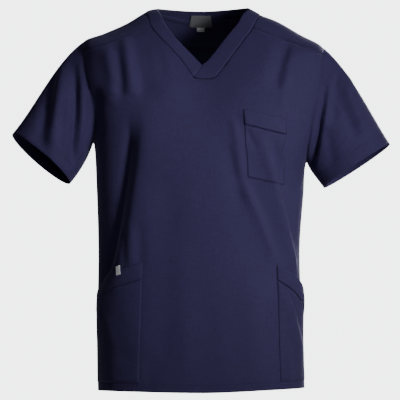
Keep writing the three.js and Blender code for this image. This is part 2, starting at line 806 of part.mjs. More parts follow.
// The yoke as a horseshoe: from one front seam round the back of the neck to the other
function yokeGrid(cells) {
  const leftSeam = yokeFrontSeam(-1, cells);
  const rightSeam = yokeFrontSeam(1, cells).map(turnBack);
  const neckLeft = neckFront(-1, "outer").slice(YOKE_STATION);
  const neckRight = neckFront(1, "outer").slice(YOKE_STATION).map(turnBack).reverse();
  const inner = [...neckLeft, ...neckBack(NECKBAND), ...neckRight];
  const end = (sign) => {
    const places = [];
    for (let i = 0; i <= YOKE_END_CELLS; i++) {
      places.push(armholePlace(sign, "front", yokeAngle(sign, "front") * (1 - i / YOKE_END_CELLS)));
    }
    for (let i = 1; i < YOKE_END_CELLS; i++) {
      places.push(armholePlace(sign, "back", yokeAngle(sign, "back") * (i / YOKE_END_CELLS)));
    }
    return places;
  };
  const outer = [...end(-1), ...yokeBackSeam(), ...end(1).map(turnBack).reverse()];
  return fillGrid(inner, outer, leftSeam, rightSeam, 5);
}

// The back, from the yoke's seam down to the hem
function backGrid(front) {
  const top = yokeBackSeam();
  const side = (sign) => {
    const places = [];
    for (let j = 0; j < BACK_ARMHOLE_ROWS; j++) {
      const angle = armholeStep(yokeAngle(sign, "back"), Math.PI, j / BACK_ARMHOLE_ROWS);
      places.push(armholePlace(sign, "back", angle));
    }
    for (const line of front.grid.slice(front.firstRowOf.underarm)) {
      places.push(sign < 0 ? line[0] : line[line.length - 1]);
    }
    return sign < 0 ? places : places.map(turnBack);
  };
  const left = side(-1);
  const right = side(1);
  const underarmShare = (LEVEL_UNDERARM - 110) / (LEVEL_HEM - 110);
  const down = left.map((place, j) => {
    if (j < BACK_ARMHOLE_ROWS) {
      return (underarmShare * j) / BACK_ARMHOLE_ROWS;
    }
    return mix(underarmShare, 1, (place.level - LEVEL_UNDERARM) / (LEVEL_HEM - LEVEL_UNDERARM));
  });
  const bottom = top.map((place, i) => {
    return { turn: mix(SIDE_TURN[-1], SIDE_TURN[1] - 2 * Math.PI, i / BACK_CELLS), level: LEVEL_HEM };
  });
  return fillGrid(top, bottom, left, right, 5, down);
}

// The neckband: a strip from the lap at the V round the neck and back to the lap
function neckbandSheet(front, pointRow) {
  const sheet = new Sheet();
  const inner = [...neckFront(-1, "inner"), ...neckBack(0), ...neckFront(1, "inner").reverse()];
  const outer = [...neckFront(-1, "outer"), ...neckBack(NECKBAND), ...neckFront(1, "outer").reverse()];
  outer[0] = pointRow[0];
  outer[outer.length - 1] = pointRow[pointRow.length - 1];
  const grid = inner.map((place, i) => {
    const middle = mixPlace(place, outer[i], 0.5);
    return [
      { key: `${i},0`, place },
      { key: `${i},1`, place: middle },
      { key: `${i},2`, place: outer[i] },
    ];
  });
  sheet.addGrid(grid, (node) => placePoint(node.place), (node) => node.key);
  const last = grid.length - 1;
  const tip = grid[last][0];
  const lapMiddle = mixPlace(inner[0], pointRow[0], 0.5);
  const farMiddle = mixPlace(inner[last], outer[last], 0.5);
  const cells = pointRow.length - 1;
  const fan = [[], [], []];
  for (let i = 0; i <= cells; i++) {
    const t = i / cells;
    fan[0].push(tip);
    const isEnd = i === cells;
    const onMiddle = { key: `lap,${i},1`, place: mixPlace(lapMiddle, farMiddle, t) };
    const onEdge = { key: `lap,${i},2`, place: pointRow[i] };
    fan[1].push(isEnd ? grid[last][1] : onMiddle);
    fan[2].push(isEnd ? grid[last][2] : onEdge);
  }
  const add = (node) => sheet.point(node.key, placePoint(node.place), node.place);
  const numbers = fan.map((line) => line.map(add));
  for (let j = 0; j < 2; j++) {
    for (let i = 0; i < cells; i++) {
      sheet.quad(numbers[j][i], numbers[j][i + 1], numbers[j + 1][i + 1], numbers[j + 1][i]);
    }
  }
  return sheet.lookAlong(numbers[2][1], new THREE.Vector3(0, -1, 0));
}

// Places round one armhole, from the underarm up the front and down the back
function armholeLoop(sign, front) {
  const seams = front.grid.slice(0, front.firstRowOf.underarm + 1);
  const places = seams.map((line) => (sign < 0 ? line[0] : line[line.length - 1])).reverse();
  const row0 = armholeAngle(sign, FRONT_ROWS[0].z[0]);
  for (let j = 1; j <= SHOULDER_ROWS; j++) {
    const angle = mix(row0, yokeAngle(sign, "front"), j / SHOULDER_ROWS);
    places.push(armholePlace(sign, "front", angle));
  }
  for (let i = 1; i <= YOKE_END_CELLS; i++) {
    places.push(armholePlace(sign, "front", yokeAngle(sign, "front") * (1 - i / YOKE_END_CELLS)));
  }
  for (let i = 1; i <= YOKE_END_CELLS; i++) {
    places.push(armholePlace(sign, "back", yokeAngle(sign, "back") * (i / YOKE_END_CELLS)));
  }
  for (let j = 1; j < BACK_ARMHOLE_ROWS; j++) {
    const angle = armholeStep(yokeAngle(sign, "back"), Math.PI, j / BACK_ARMHOLE_ROWS);
    places.push(armholePlace(sign, "back", angle));
  }
  return places;
}

// A sleeve from its armhole to its cuff, as a tube of rings
function sleeveSheet(sleeve, front) {
  const places = armholeLoop(sleeve.sign, front);
  const count = places.length;
  const seam = places.map(placePoint);
  const middle = seam.reduce((sum, p) => sum.add(p), new THREE.Vector3()).divideScalar(count);
  const shares = [0];
  for (let k = 1; k <= count; k++) {
    shares.push(shares[k - 1] + seam[k % count].distanceTo(seam[k - 1]));
  }
  const around = shares.map((share) => (share / shares[count]) * 2 * Math.PI);
  const top = new THREE.Vector3(sleeve.topX, sleeve.y, sleeve.topZ);
  const low = new THREE.Vector3(sleeve.lowX, sleeve.y, sleeve.lowZ);
  const long = low.clone().sub(top).multiplyScalar(0.5);
  const down = new THREE.Vector3(long.z, 0, -long.x).normalize();
  down.multiplyScalar(down.z > 0 ? -1 : 1);
  const centre = top.clone().add(low).multiplyScalar(0.5).addScaledVector(down, -sleeve.lift);
  const lean = sleeve.lean * DEGREE;
  const forward = new THREE.Vector3(0, -Math.cos(lean), 0).addScaledVector(down, -Math.sin(lean));
  const axis = down.clone().multiplyScalar(Math.cos(lean)).add(new THREE.Vector3(0, -Math.sin(lean), 0));
  const under = new THREE.Vector3(sleeve.underX, 0, -1).normalize();
  const slope = new THREE.Vector3(sleeve.sign * 0.9, 0, -0.44).normalize();
  const rings = [];
  for (let k = 0; k < count; k++) {
    const angle = around[k];
    const cuff = centre.clone().addScaledVector(long, Math.cos(angle));
    cuff.addScaledVector(forward, sleeve.depth * Math.sin(angle));
    const next = seam[(k + 1) % count];
    const tangent = next.clone().sub(seam[(k + count - 1) % count]).normalize();
    const normal = bodyNormal(places[k].turn, places[k].level);
    const away = tangent.clone().cross(normal).normalize();
    if (away.dot(middle.clone().sub(seam[k])) < 0) {
      away.negate();
    }
    const atTop = (1 - Math.cos(angle)) / 2;
    const atUnder = ((1 + Math.cos(angle)) / 2) ** 2;
    const start = axis.clone().lerp(under, atUnder).lerp(slope, 0.6 * atTop).normalize();
    const bend = Math.acos(Math.min(Math.max(start.dot(away), -1), 1));
    const from = seam[k].clone();
    from.addScaledVector(away, SEAM_GAP + (CLOTH / 2) * Math.sin(bend));
    from.addScaledVector(normal, (CLOTH + SEAM_GAP) * (1 - Math.cos(bend)) / 2);
    const length = from.distanceTo(cuff);
    const hemAt = 1 - SLEEVE_HEM / length;
    const stops = [];
    for (let j = 0; j <= SLEEVE_ROWS; j++) {
      stops.push(hemAt * (j / SLEEVE_ROWS));
    }
    stops.push(hemAt + FOLD_EDGE / length, 1);
    rings.push(stops.map((t) => {
      const t2 = t * t;
      const t3 = t2 * t;
      const point = from.clone().multiplyScalar(2 * t3 - 3 * t2 + 1);
      point.addScaledVector(start, 0.9 * length * (t3 - 2 * t2 + t));
      point.addScaledVector(cuff, 3 * t2 - 2 * t3);
      point.addScaledVector(axis, 0.9 * length * (t3 - t2));
      return { point, share: t };
    }));
  }
  const sheet = new Sheet();
  const rows = rings[0].length;
  const grid = [];
  for (let j = 0; j < rows; j++) {
    const line = [];
    for (let k = 0; k <= count; k++) {
      line.push({ key: `${k % count},${j}`, ...rings[k % count][j] });
    }
    grid.push(line);
  }
  const numbers = sheet.addGrid(grid, (node) => node.point, (node) => node.key);
  const quarter = Math.round(count / 4);
  sheet.lookAlong(numbers[6][quarter], new THREE.Vector3(0, -1, 0));
  const normals = sheet.normals();
  const folds = SLEEVE_FOLDS.filter((fold) => fold.name === sleeve.name);
  for (let k = 0; k < count; k++) {
    for (let j = 0; j < rows; j++) {
      const number = numbers[j][k];
      const point = sheet.points[number];
      const facing = -normals[number].y;
      const side = facing > 0 ? "front" : "back";
      const alongFade = smoothStep(0.02, 0.25, rings[k][j].share);
      const fade = alongFade * smoothStep(0.05, 0.5, Math.abs(facing));
      point.addScaledVector(normals[number], fade * foldHeight(folds, side, point.x, point.z));
    }
  }
  const hemFrom = rows - 2;
  const isHem = new Set(numbers.slice(hemFrom).flat());
  return { sheet, thickness: (k) => (isHem.has(k) ? HEM_CLOTH : CLOTH) };
}

// Points, normals and faces of the finished front, which the pockets are made from
function pocketWall(front, columns, rows, thickness, gapAt) {
  const faces = [];
  for (let j = rows[0]; j < rows[1]; j++) {
    for (let i = columns[0]; i < columns[1]; i++) {
      const [a, b] = [front.numbers[j][i], front.numbers[j][i + 1]];
      const [d, c] = [front.numbers[j + 1][i], front.numbers[j + 1][i + 1]];
      faces.push(front.flipped ? [a, c, b] : [a, b, c]);
      faces.push(front.flipped ? [a, d, c] : [a, c, d]);
    }
  }
  const share = new Map();
  for (let j = rows[0]; j <= rows[1]; j++) {
    for (let i = columns[0]; i <= columns[1]; i++) {
      share.set(front.numbers[j][i], { i, j });
    }
  }
  const piece = new Sheet();
  piece.points = front.sheet.points.map((point) => point.clone());
  piece.faces = faces;
  const inner = (k) => CLOTH / 2 + gapAt(share.get(k));
  piece.drawIn(SEAM_GAP / 2);
  return wall(faces, inner, (k) => inner(k) + thickness, front.normals, piece.points);
}

// How far a pocket stands off: least at its sewn edges, most at its opening
function gape(columns, rows, amount) {
  return ({ i, j }) => {
    const s = (i - columns[0]) / (columns[1] - columns[0]);
    const t = (j - rows[0]) / (rows[1] - rows[0]);
    const across = Math.sin(Math.PI * s);
    const down = (1 - smoothStep(0, 1, t)) ** 1.5;
    return POCKET_SEWN + amount * across * down;
  };
}

function addPiece(group, name, geometry, color, roughness) {
  const material = new THREE.MeshStandardMaterial({ color, roughness, metalness: 0 });
  material.name = name;
  const mesh = new THREE.Mesh(geometry, material);
  mesh.name = name;
  group.add(mesh);
}

// A small flat piece through a grid of points, lifted off its ground
function smallPiece(grid, thickness, direction) {
  const sheet = new Sheet();
  let count = 0;
  const numbers = sheet.addGrid(grid, (point) => point, () => `${count++}`);
  sheet.lookAlong(numbers[0][0], direction);
  return evenWall(sheet, thickness);
}

function buildTop() {
  const top = new THREE.Group();
  top.name = "scrub_top";

  // Front panel
  const front = frontGrid();
  const pointLeft = firstColumn("point left");
  const pointRight = firstColumn("point right");
  const row0 = front.grid[0];
  const leftShoulder = shoulderGrid(-1, row0.slice(0, pointLeft + 1).reverse());
  const rightShoulder = shoulderGrid(1, row0.slice(pointRight));
  const frontSheet = new Sheet();
  front.numbers = frontSheet.addGrid(front.grid, placePoint, placeKey);
  const addPlace = (place) => frontSheet.point(placeKey(place), placePoint(place), place);
  for (const shoulder of [leftShoulder, rightShoulder]) {
    const numbers = shoulder.map((line) => line.map(addPlace));
    for (let j = 0; j < SHOULDER_ROWS; j++) {
      for (let i = 0; i + 1 < numbers[j].length; i++) {
        const corners = [numbers[j][i], numbers[j][i + 1], numbers[j + 1][i + 1], numbers[j + 1][i]];
        frontSheet.quad(...(shoulder === leftShoulder ? corners : corners.reverse()));
      }
    }
  }
  const before = frontSheet.faces[0].join();
  frontSheet.lookAlong(front.numbers[20][pointLeft], new THREE.Vector3(0, -1, 0));
  front.flipped = frontSheet.faces[0].join() !== before;
  frontSheet.drawIn(SEAM_GAP / 2);
  front.sheet = frontSheet;
  front.normals = frontSheet.wallNormals();
  const hemRows = new Set(front.numbers.slice(-2).flat());
  const frontCloth = (k) => (hemRows.has(k) ? HEM_CLOTH : CLOTH);
  addPiece(top, "front", evenWall(frontSheet, frontCloth), NAVY, 0.85);

  // Back panel and yoke
  const back = new Sheet();
  const backNumbers = back.addGrid(backGrid(front), placePoint, placeKey);
  back.lookAlong(backNumbers[12][10], new THREE.Vector3(0, 1, 0));
  back.drawIn(SEAM_GAP / 2);
  const backHem = new Set(backNumbers.slice(-2).flat());
  addPiece(top, "back", evenWall(back, (k) => (backHem.has(k) ? HEM_CLOTH : CLOTH)), NAVY, 0.85);
  const yoke = new Sheet();
  const yokeNumbers = yoke.addGrid(yokeGrid(pointLeft), placePoint, placeKey);
  yoke.lookAlong(yokeNumbers[7][14], new THREE.Vector3(0, 1, 0.2));
  yoke.drawIn(SEAM_GAP / 2);
  addPiece(top, "yoke", evenWall(yoke, CLOTH), NAVY, 0.85);

  // Neckband
  const band = neckbandSheet(front, row0.slice(pointLeft, pointRight + 1));
  band.drawIn(SEAM_GAP / 2);
  addPiece(top, "neckband", evenWall(band, BAND_CLOTH), NAVY, 0.85);

  // Sleeves
  for (const sleeve of SLEEVES) {
    const tube = sleeveSheet(sleeve, front);
    addPiece(top, sleeve.name, evenWall(tube.sheet, tube.thickness), NAVY, 0.85);
  }

  // Pockets, each with its band along the opening
  const chestColumns = [firstColumn("chest left"), firstColumn("chest right")];
  const leftColumns = [0, firstColumn("left pocket")];
  const rightColumns = [firstColumn("right pocket"), row0.length - 1];
  const rowOf = front.firstRowOf;
  const chestRows = [rowOf["chest pocket opening"], rowOf["chest band seam"], rowOf["chest pocket foot"]];
  const lowRows = [rowOf["lower pocket opening"], rowOf["lower band seam"], rowOf["hem seam"]];
  const pockets = [
    { name: "chest_pocket", columns: chestColumns, rows: chestRows, amount: CHEST_GAPE },
    { name: "lower_pocket", suffix: "_left", columns: leftColumns, rows: lowRows, amount: LEFT_GAPE },
    { name: "lower_pocket", suffix: "_right", columns: rightColumns, rows: lowRows, amount: RIGHT_GAPE },
  ];
  for (const pocket of pockets) {
    const suffix = pocket.suffix || "";
    const [open, seam, foot] = pocket.rows;
    const stand = gape(pocket.columns, [open, foot], pocket.amount);
    const bag = pocketWall(front, pocket.columns, [seam, foot], POCKET_CLOTH, stand);
    addPiece(top, `${pocket.name}${suffix}`, bag, NAVY, 0.85);
    const strip = pocketWall(front, pocket.columns, [open, seam], POCKET_BAND_CLOTH, stand);
    addPiece(top, `${pocket.name}_band${suffix}`, strip, NAVY, 0.85);
  }

  // Label and size tab inside the back neck
  const inward = (turn, level, distance) => {
    return bodyPoint(turn, level).addScaledVector(bodyNormal(turn, level), -distance);
  };
  const labelDepth = BAND_CLOTH / 2 + LABEL.gap + LABEL_CLOTH / 2;
  const neckRadius = 76;
  const patch = (middle, width, from, height, columns, rows, depth) => {
    const grid = [];
    for (let j = 0; j <= rows; j++) {
      const line = [];
      for (let i = 0; i <= columns; i++) {
        const turn = Math.PI - (middle + mix(-width / 2, width / 2, i / columns)) / neckRadius;
        line.push(inward(turn, from + (height * j) / rows, depth));
      }
      grid.push(line);
    }
    return grid;
  };
  const towardsNeck = new THREE.Vector3(0, -1, 0);
  const labelGrid = patch(0, LABEL.width, LABEL.drop, LABEL.height, 6, 3, labelDepth);
  addPiece(top, "neck_label", smallPiece(labelGrid, LABEL_CLOTH, towardsNeck), LABEL_GREY, 0.8);
  const tabFrom = LABEL.drop + LABEL.height + SEAM_GAP;
  const tabGrid = patch(TAB.side, TAB.width, tabFrom, TAB.height, 2, 2, labelDepth);
  addPiece(top, "size_tab", smallPiece(tabGrid, LABEL_CLOTH, towardsNeck), TAB_WHITE, 0.8);

  // Tag on the left lower pocket's band
  const tagColumn = 6;
  const openRow = rowOf["lower pocket opening"];
  const tagStand = gape(leftColumns, [openRow, rowOf["hem seam"]], LEFT_GAPE);
  const lifted = (i, j) => {
    const number = front.numbers[j][i];
    const height = CLOTH / 2 + tagStand({ i, j }) + POCKET_BAND_CLOTH + TAG.gap + TAG.thick / 2;
    return frontSheet.points[number].clone().addScaledVector(front.normals[number], height);
  };
  const corner = lifted(tagColumn, openRow);
  const across = lifted(tagColumn + 1, openRow).sub(corner).normalize();
  const fall = lifted(tagColumn, openRow + 1).sub(corner).normalize();
  const tagGrid = [0, 1, 2].map((j) => {
    return [0, 1, 2].map((i) => {
      const place = corner.clone().addScaledVector(across, TAG.side + (TAG.width * i) / 2);
      return place.addScaledVector(fall, (TAG.height * j) / 2 - TAG.above);
    });
  });
  addPiece(top, "pocket_tag", smallPiece(tagGrid, TAG.thick, towardsNeck), TAG_SILVER, 0.5);
  return top;
}

export default buildTop();
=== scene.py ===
# %% [markdown]
# # A scrub top, worn and hollow
#
# This lesson dresses a plain solid model of a short-sleeved scrub top. Each cut piece of the real
# garment becomes a thin cloth shell on the form of its solid, with finer folds, doubled hems and
# sewn seams. The solids keep the places and sizes; Blender gives the cloth its looks. Lengths in
# the tables are millimetres, because a tailor thinks in them, and the meshes are in metres.

import bpy
import math
import numpy as np
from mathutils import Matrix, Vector
from mathutils.bvhtree import BVHTree


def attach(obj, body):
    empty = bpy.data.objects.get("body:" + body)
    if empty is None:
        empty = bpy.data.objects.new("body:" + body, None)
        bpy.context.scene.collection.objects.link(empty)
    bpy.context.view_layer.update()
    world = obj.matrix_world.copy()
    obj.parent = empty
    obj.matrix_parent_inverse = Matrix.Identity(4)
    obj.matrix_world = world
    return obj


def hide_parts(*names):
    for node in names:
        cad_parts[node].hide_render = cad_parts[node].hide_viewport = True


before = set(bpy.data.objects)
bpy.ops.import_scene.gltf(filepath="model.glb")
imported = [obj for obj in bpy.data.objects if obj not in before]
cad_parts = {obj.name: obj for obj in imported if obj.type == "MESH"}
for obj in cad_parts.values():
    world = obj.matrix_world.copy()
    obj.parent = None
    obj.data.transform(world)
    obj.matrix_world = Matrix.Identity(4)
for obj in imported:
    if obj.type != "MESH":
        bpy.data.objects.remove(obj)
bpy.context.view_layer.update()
DEGREE = math.pi / 180
FINE = 4
print("pieces in the solid model:", len(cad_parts))

# %% [markdown]
# ## The form of the body
#
# A worn top is a tube of rings: narrow at the neck, over the shoulders, down to the hem. Each row
# below is one ring, with its half widths, its depths and its heights at four places. Modelling
# the rings by hand would work too, but a table can be read smoothly at any level, so every panel
# is cut from one and the same form and the seams meet.

# %% Rings of the body
RING_COLUMNS = (
    "level", "left", "right", "front", "back", "z_left", "z_right", "z_front", "z_back", "square",
    "axis"
)
RING_ROWS = [
    (0, 84, 92, 60, 70, 0, 1.5, -50, -4, 2.05, 12),
    (28, 109, 116, 70, 84, -6, -11, -76, -27, 2.1, 10),
    (70, 148, 154, 86, 101, -29, -26, -113, -60, 2.2, 8),
    (115, 193, 199, 100, 115, -49, -52, -150, -95, 2.35, 5),
    (160, 234, 242, 111, 126, -65, -76, -186, -132, 2.5, 3),
    (190, 238, 247, 116, 130, -87, -101, -205, -158, 2.55, 1),
    (235, 242, 250, 122, 134, -132, -150, -232, -196, 2.6, 0),
    (300, 232, 237, 129, 137, -202, -230, -268, -248, 2.6, 0),
    (370, 214, 210, 132, 135, -268, -306, -313, -306, 2.55, 0),
    (430, 209, 205, 131, 131, -343, -366, -369, -366, 2.5, 0),
    (550, 205, 197, 130, 126, -484, -484, -486, -485, 2.45, 0),
    (690, 207, 202, 133, 130, -624, -622, -626, -625, 2.45, 0),
    (830, 206, 207, 138, 135, -762, -757, -766, -763, 2.4, 0),
]
RINGS = {
    name: np.array([row[k] for row in RING_ROWS], float) for k, name in enumerate(RING_COLUMNS)
}
RIDGE_TIP, UNDERARM, HEM = 160, 370, 830


def mix(a, b, t):
    return a + (b - a) * t


def smooth_step(low, high, value):
    t = np.clip((value - low) / (high - low), 0, 1)
    return t * t * (3 - 2 * t)


def read_smooth(at, knots, values):
    """Reads a table's column smoothly between its rows."""
    knots, values = np.asarray(knots, float), np.asarray(values, float)
    at = np.clip(at, knots[0], knots[-1])
    k = np.clip(np.searchsorted(knots, at, side="left") - 1, 0, len(knots) - 2)
    low = np.maximum(np.arange(len(knots)) - 1, 0)
    high = np.minimum(np.arange(len(knots)) + 1, len(knots) - 1)
    slope = (values[high] - values[low]) / (knots[high] - knots[low])
    span = knots[k + 1] - knots[k]
    t = (at - knots[k]) / span
    start = values[k] * (2 * t**3 - 3 * t**2 + 1) + slope[k] * span * (t**3 - 2 * t**2 + t)
    return start + values[k + 1] * (3 * t**2 - 2 * t**3) + slope[k + 1] * span * (t**3 - t**2)


def smooth_body(turn, level):
    """A point of the unfolded body. Turn 0 is the front's middle, a quarter is the right side."""
    ring = {name: read_smooth(level, RINGS["level"], RINGS[name]) for name in RING_COLUMNS[1:]}
    sine, cosine = np.sin(turn), np.cos(turn)
    width = np.where(sine < 0, ring["left"], ring["right"])
    depth = np.where(cosine > 0, ring["front"], ring["back"])
    n = ring["square"]
    reach = (np.abs(sine / width) ** n + np.abs(cosine / depth) ** n) ** (-1 / n)
    side = np.where(sine < 0, ring["z_left"], ring["z_right"])
    middle = np.where(cosine > 0, ring["z_front"], ring["z_back"])
    return np.stack(
        [reach * sine, ring["axis"] - reach * cosine, side * sine**2 + middle * cosine**2], -1
    )


print("front middle at the hem, mm:", smooth_body(np.array(0.0), np.array(830.0)).round(1))

# %% [markdown]
# ## Folds
#
# A worn top hangs in long soft folds. A cloth simulation gives folds too, but not those of the
# photograph, so each one here is a line in the front view with its own width on either side and
# its own height. The first table holds the large folds that the solids have as well, and the
# second one the finer creases that only the cloth shell has.

# %% Tables of folds and creases
FOLD_COLUMNS = ("side", "x0", "z0", "x1", "z1", "bow", "left", "right", "rise")
LARGE_FOLDS = [
    ("front", -131, -190, -220, -600, 14, 32, 16, -12),
    ("front", -110, -186, -174, -560, 14, 17, 40, 5),
    ("front", 118, -240, 194, -556, 3, 24, 12, 4.5),
    ("front", 64, -206, 80, -350, 2, 11, 10, 3.5),
    ("front", 50, -262, 84, -410, 2, 18, 9, -3.5),
    ("front", 76, -326, 152, -524, 5, 22, 9, 4),
    ("front", -190, -66, -173, -196, 3, 14, 10, 6),
    ("front", -171, -60, -157, -186, 3, 10, 9, -4.5),
    ("front", -155, -46, -138, -176, 2, 12, 10, 6),
    ("front", -134, -40, -112, -190, 2, 12, 38, -10),
    ("front", 176, -62, 150, -166, -3, 18, 9, -9),
    ("front", -214, -150, -208, -262, 2, 12, 14, -6),
    ("front", -66, -300, -82, -775, 4, 34, 30, -4),
    ("front", 96, -520, 116, -790, 0, 34, 30, 4),
    ("back", -128, -150, -186, -620, 12, 22, 20, -12),
    ("back", 120, -170, 180, -640, -12, 20, 24, -13),
    ("back", -40, -230, -62, -780, 6, 28, 24, -8),
    ("back", 52, -260, 74, -780, -6, 24, 28, -9),
    ("back", 168, -104, 150, -230, -3, 13, 13, -7),
    ("back", -176, -100, -156, -235, 3, 13, 13, -7),
]
CREASES = [
    ("front", -142, -196, -211, -580, 12, 9, 6, -7),
    ("front", -128, -236, -160, -430, 6, 10, 16, 1.8),
    ("front", 119, -246, 193, -552, 3, 12, 5, 4.2),
    ("front", 129, -246, 203, -552, 3, 5, 22, -4.2),
    ("front", 79, -336, 151, -520, 5, 10, 5, 3.2),
    ("front", 89, -336, 161, -520, 5, 5, 18, -3.4),
    ("front", 86, -232, 114, -288, 0, 8, 6, -2.4),
    ("front", 142, -254, 160, -344, 2, 8, 8, -2.6),
    ("front", 66, -206, 80, -262, 2, 6, 7, -1.8),
    ("front", 76, -196, 100, -236, 0, 7, 6, 1.4),
    ("front", -88, -70, -74, -150, 2, 9, 10, -1.6),
    ("front", -196, -120, -150, -176, -4, 8, 9, -1.8),
    ("front", -204, -150, -160, -204, -4, 8, 8, 1.6),
    ("front", 176, -120, 160, -210, -3, 8, 10, 1.6),
    ("front", 204, -180, 186, -286, -3, 8, 10, -2.2),
    ("front", 153, -544, 208, -712, 3, 12, 4, 3.2),
    ("front", 162, -544, 217, -712, 3, 4, 16, -3.0),
    ("front", 186, -560, 208, -612, 2, 7, 4, 2.4),
    ("front", -150, -424, -152, -518, 0, 6, 6, -2.8),
    ("front", -137, -416, -140, -520, 0, 9, 9, 2.2),
    ("front", -122, -424, -120, -528, 0, 9, 11, -2.2),
    ("front", -188, -566, -206, -670, -2, 12, 5, 2.6),
    ("front", 178, -640, 190, -770, 4, 10, 12, -2.2),
    ("front", -196, -590, -150, -690, -6, 12, 12, 2.4),
    ("front", -176, -620, -136, -720, -5, 10, 14, -1.8),
    ("front", -20, -420, -6, -640, 4, 26, 30, -1.6),
    ("front", 40, -560, 52, -780, 2, 22, 26, 1.6),
    ("front", -34, -600, -30, -790, 2, 18, 20, 1.4),
    ("front", -170, -690, -176, -790, 0, 14, 16, 2.0),
    ("front", -100, -690, -104, -790, 0, 12, 16, -1.8),
    ("back", -140, -190, -176, -470, 8, 9, 8, -4.0),
    ("back", 132, -210, 170, -500, -8, 8, 10, -4.2),
    ("back", -84, -330, -112, -640, 5, 12, 14, 3.4),
    ("back", 92, -360, 120, -660, -5, 12, 12, 3.6),
    ("back", -206, -140, -160, -196, -4, 8, 9, -2.8),
    ("back", 210, -150, 164, -204, 4, 9, 8, -3.0),
    ("back", 6, -300, 14, -560, 3, 24, 26, -1.8),
    ("back", -12, -560, -24, -790, 2, 20, 24, 1.8),
    ("back", 128, -660, 140, -790, 0, 14, 16, 2.2),
    ("back", -136, -640, -146, -790, 0, 16, 14, -2.0),
]


def fold_height(rows, side, x, z):
    """Height of all folds of one side at a place in the front view."""
    height = np.zeros(np.shape(x))
    for row in rows:
        fold = dict(zip(FOLD_COLUMNS, row))
        if fold["side"] != side:
            continue
        dx, dz = fold["x1"] - fold["x0"], fold["z1"] - fold["z0"]
        length = math.hypot(dx, dz)
        t = ((x - fold["x0"]) * dx + (z - fold["z0"]) * dz) / length**2
        inside = np.clip(t, 0, 1)
        offset = (
            (z - fold["z0"]) * dx - (x - fold["x0"]) * dz
        ) / length - fold["bow"] * 4 * inside * (1 - inside)
        width = np.where(offset < 0, fold["left"], fold["right"])
        ends = smooth_step(0, 0.25, t) * smooth_step(0, 0.25, 1 - t)
        height = height + fold["rise"] * ends * np.exp(-((offset / width) ** 2))
    return height


print("folds:", len(LARGE_FOLDS), "large and", len(CREASES), "fine")


# %% Cloth of the body, with its folds
def slope_normal(surface, turn, level, step_turn, step_level):
    low, high = np.maximum(level - step_level, 0), np.minimum(level + step_level, HEM)
    along = surface(turn, high) - surface(turn, low)
    across = surface(turn + step_turn, level) - surface(turn - step_turn, level)
    normal = np.cross(along, across)
    return normal / np.linalg.norm(normal, axis=-1, keepdims=True)


def folded(turn, level, rows):
    point = smooth_body(turn, level)
    normal = slope_normal(smooth_body, turn, level, 0.004, 1.5)
    cosine = np.cos(turn)
    front = fold_height(rows, "front", point[..., 0], point[..., 2])
    back = fold_height(rows, "back", point[..., 0], point[..., 2])
    fade = smooth_step(0, 0.3, np.abs(cosine)) * smooth_step(30, 60, level)
    height = fade * np.where(cosine > 0, front, back)
    return point + normal * height[..., None]


def body(turn, level):
    return folded(turn, level, LARGE_FOLDS + CREASES)


def body_normal(turn, level):
    return slope_normal(body, turn, level, 0.01, 2)


# %% [markdown]
# ## Finding places on the form
#
# Pockets and seams are known by where they lie in the front view, but a panel is drawn in turns
# and levels. A few Newton steps find the turn and level of any point in a view. They start from
# the nearest node of a coarse net, so that they never run off to the wrong side of the body.

# %% Places from a view
def find_places(view, targets, turn_from, turn_to):
    targets = np.atleast_2d(np.asarray(targets, float))
    axes = (1, 2) if view == "side" else (0, 2)
    turns, levels = np.meshgrid(
        np.linspace(turn_from, turn_to, 31), np.linspace(0, HEM, 41), indexing="ij"
    )
    net = smooth_body(turns, levels)[..., axes].reshape(-1, 2)
    nearest = ((net[None] - targets[:, None]) ** 2).sum(-1).argmin(1)
    turn, level = turns.ravel()[nearest].copy(), levels.ravel()[nearest].copy()
    for _ in range(40):
        here = smooth_body(turn, level)[..., axes]
        by_turn = (smooth_body(turn + 0.001, level)[..., axes] - here) / 0.001
        by_level = (smooth_body(turn, level + 0.1)[..., axes] - here) / 0.1
        miss = targets - here
        area = by_turn[:, 0] * by_level[:, 1] - by_level[:, 0] * by_turn[:, 1]
        safe = np.where(np.abs(area) < 1e-9, np.inf, area)
        turn += np.clip(
            (by_level[:, 1] * miss[:, 0] - by_level[:, 0] * miss[:, 1]) / safe, -0.1, 0.1
        )
        move = np.clip((by_turn[:, 0] * miss[:, 1] - by_turn[:, 1] * miss[:, 0]) / safe, -20, 20)
        level = np.clip(level + move, 0, HEM)
    return np.stack([turn, level], -1)


def on_front(x, z):
    return find_places(
        "front", np.stack([np.atleast_1d(x), np.atleast_1d(z)], -1), -86 * DEGREE, 86 * DEGREE
    )


def level_at_height(turn, height):
    """The level where the cloth reaches a height, going down along one turn."""
    turn = np.atleast_1d(turn)
    low, high = np.zeros(turn.shape), np.full(turn.shape, float(HEM))
    for _ in range(50):
        middle = (low + high) / 2
        point = smooth_body(turn, middle)
        above = point[..., 2] > (height(point[..., 0]) if callable(height) else height)
        low, high = np.where(above, middle, low), np.where(above, high, middle)
    return (low + high) / 2


# %% Places on the armhole seams
ARMHOLE = {"front": 66, "back": 74, "low_bulge": 0.22}


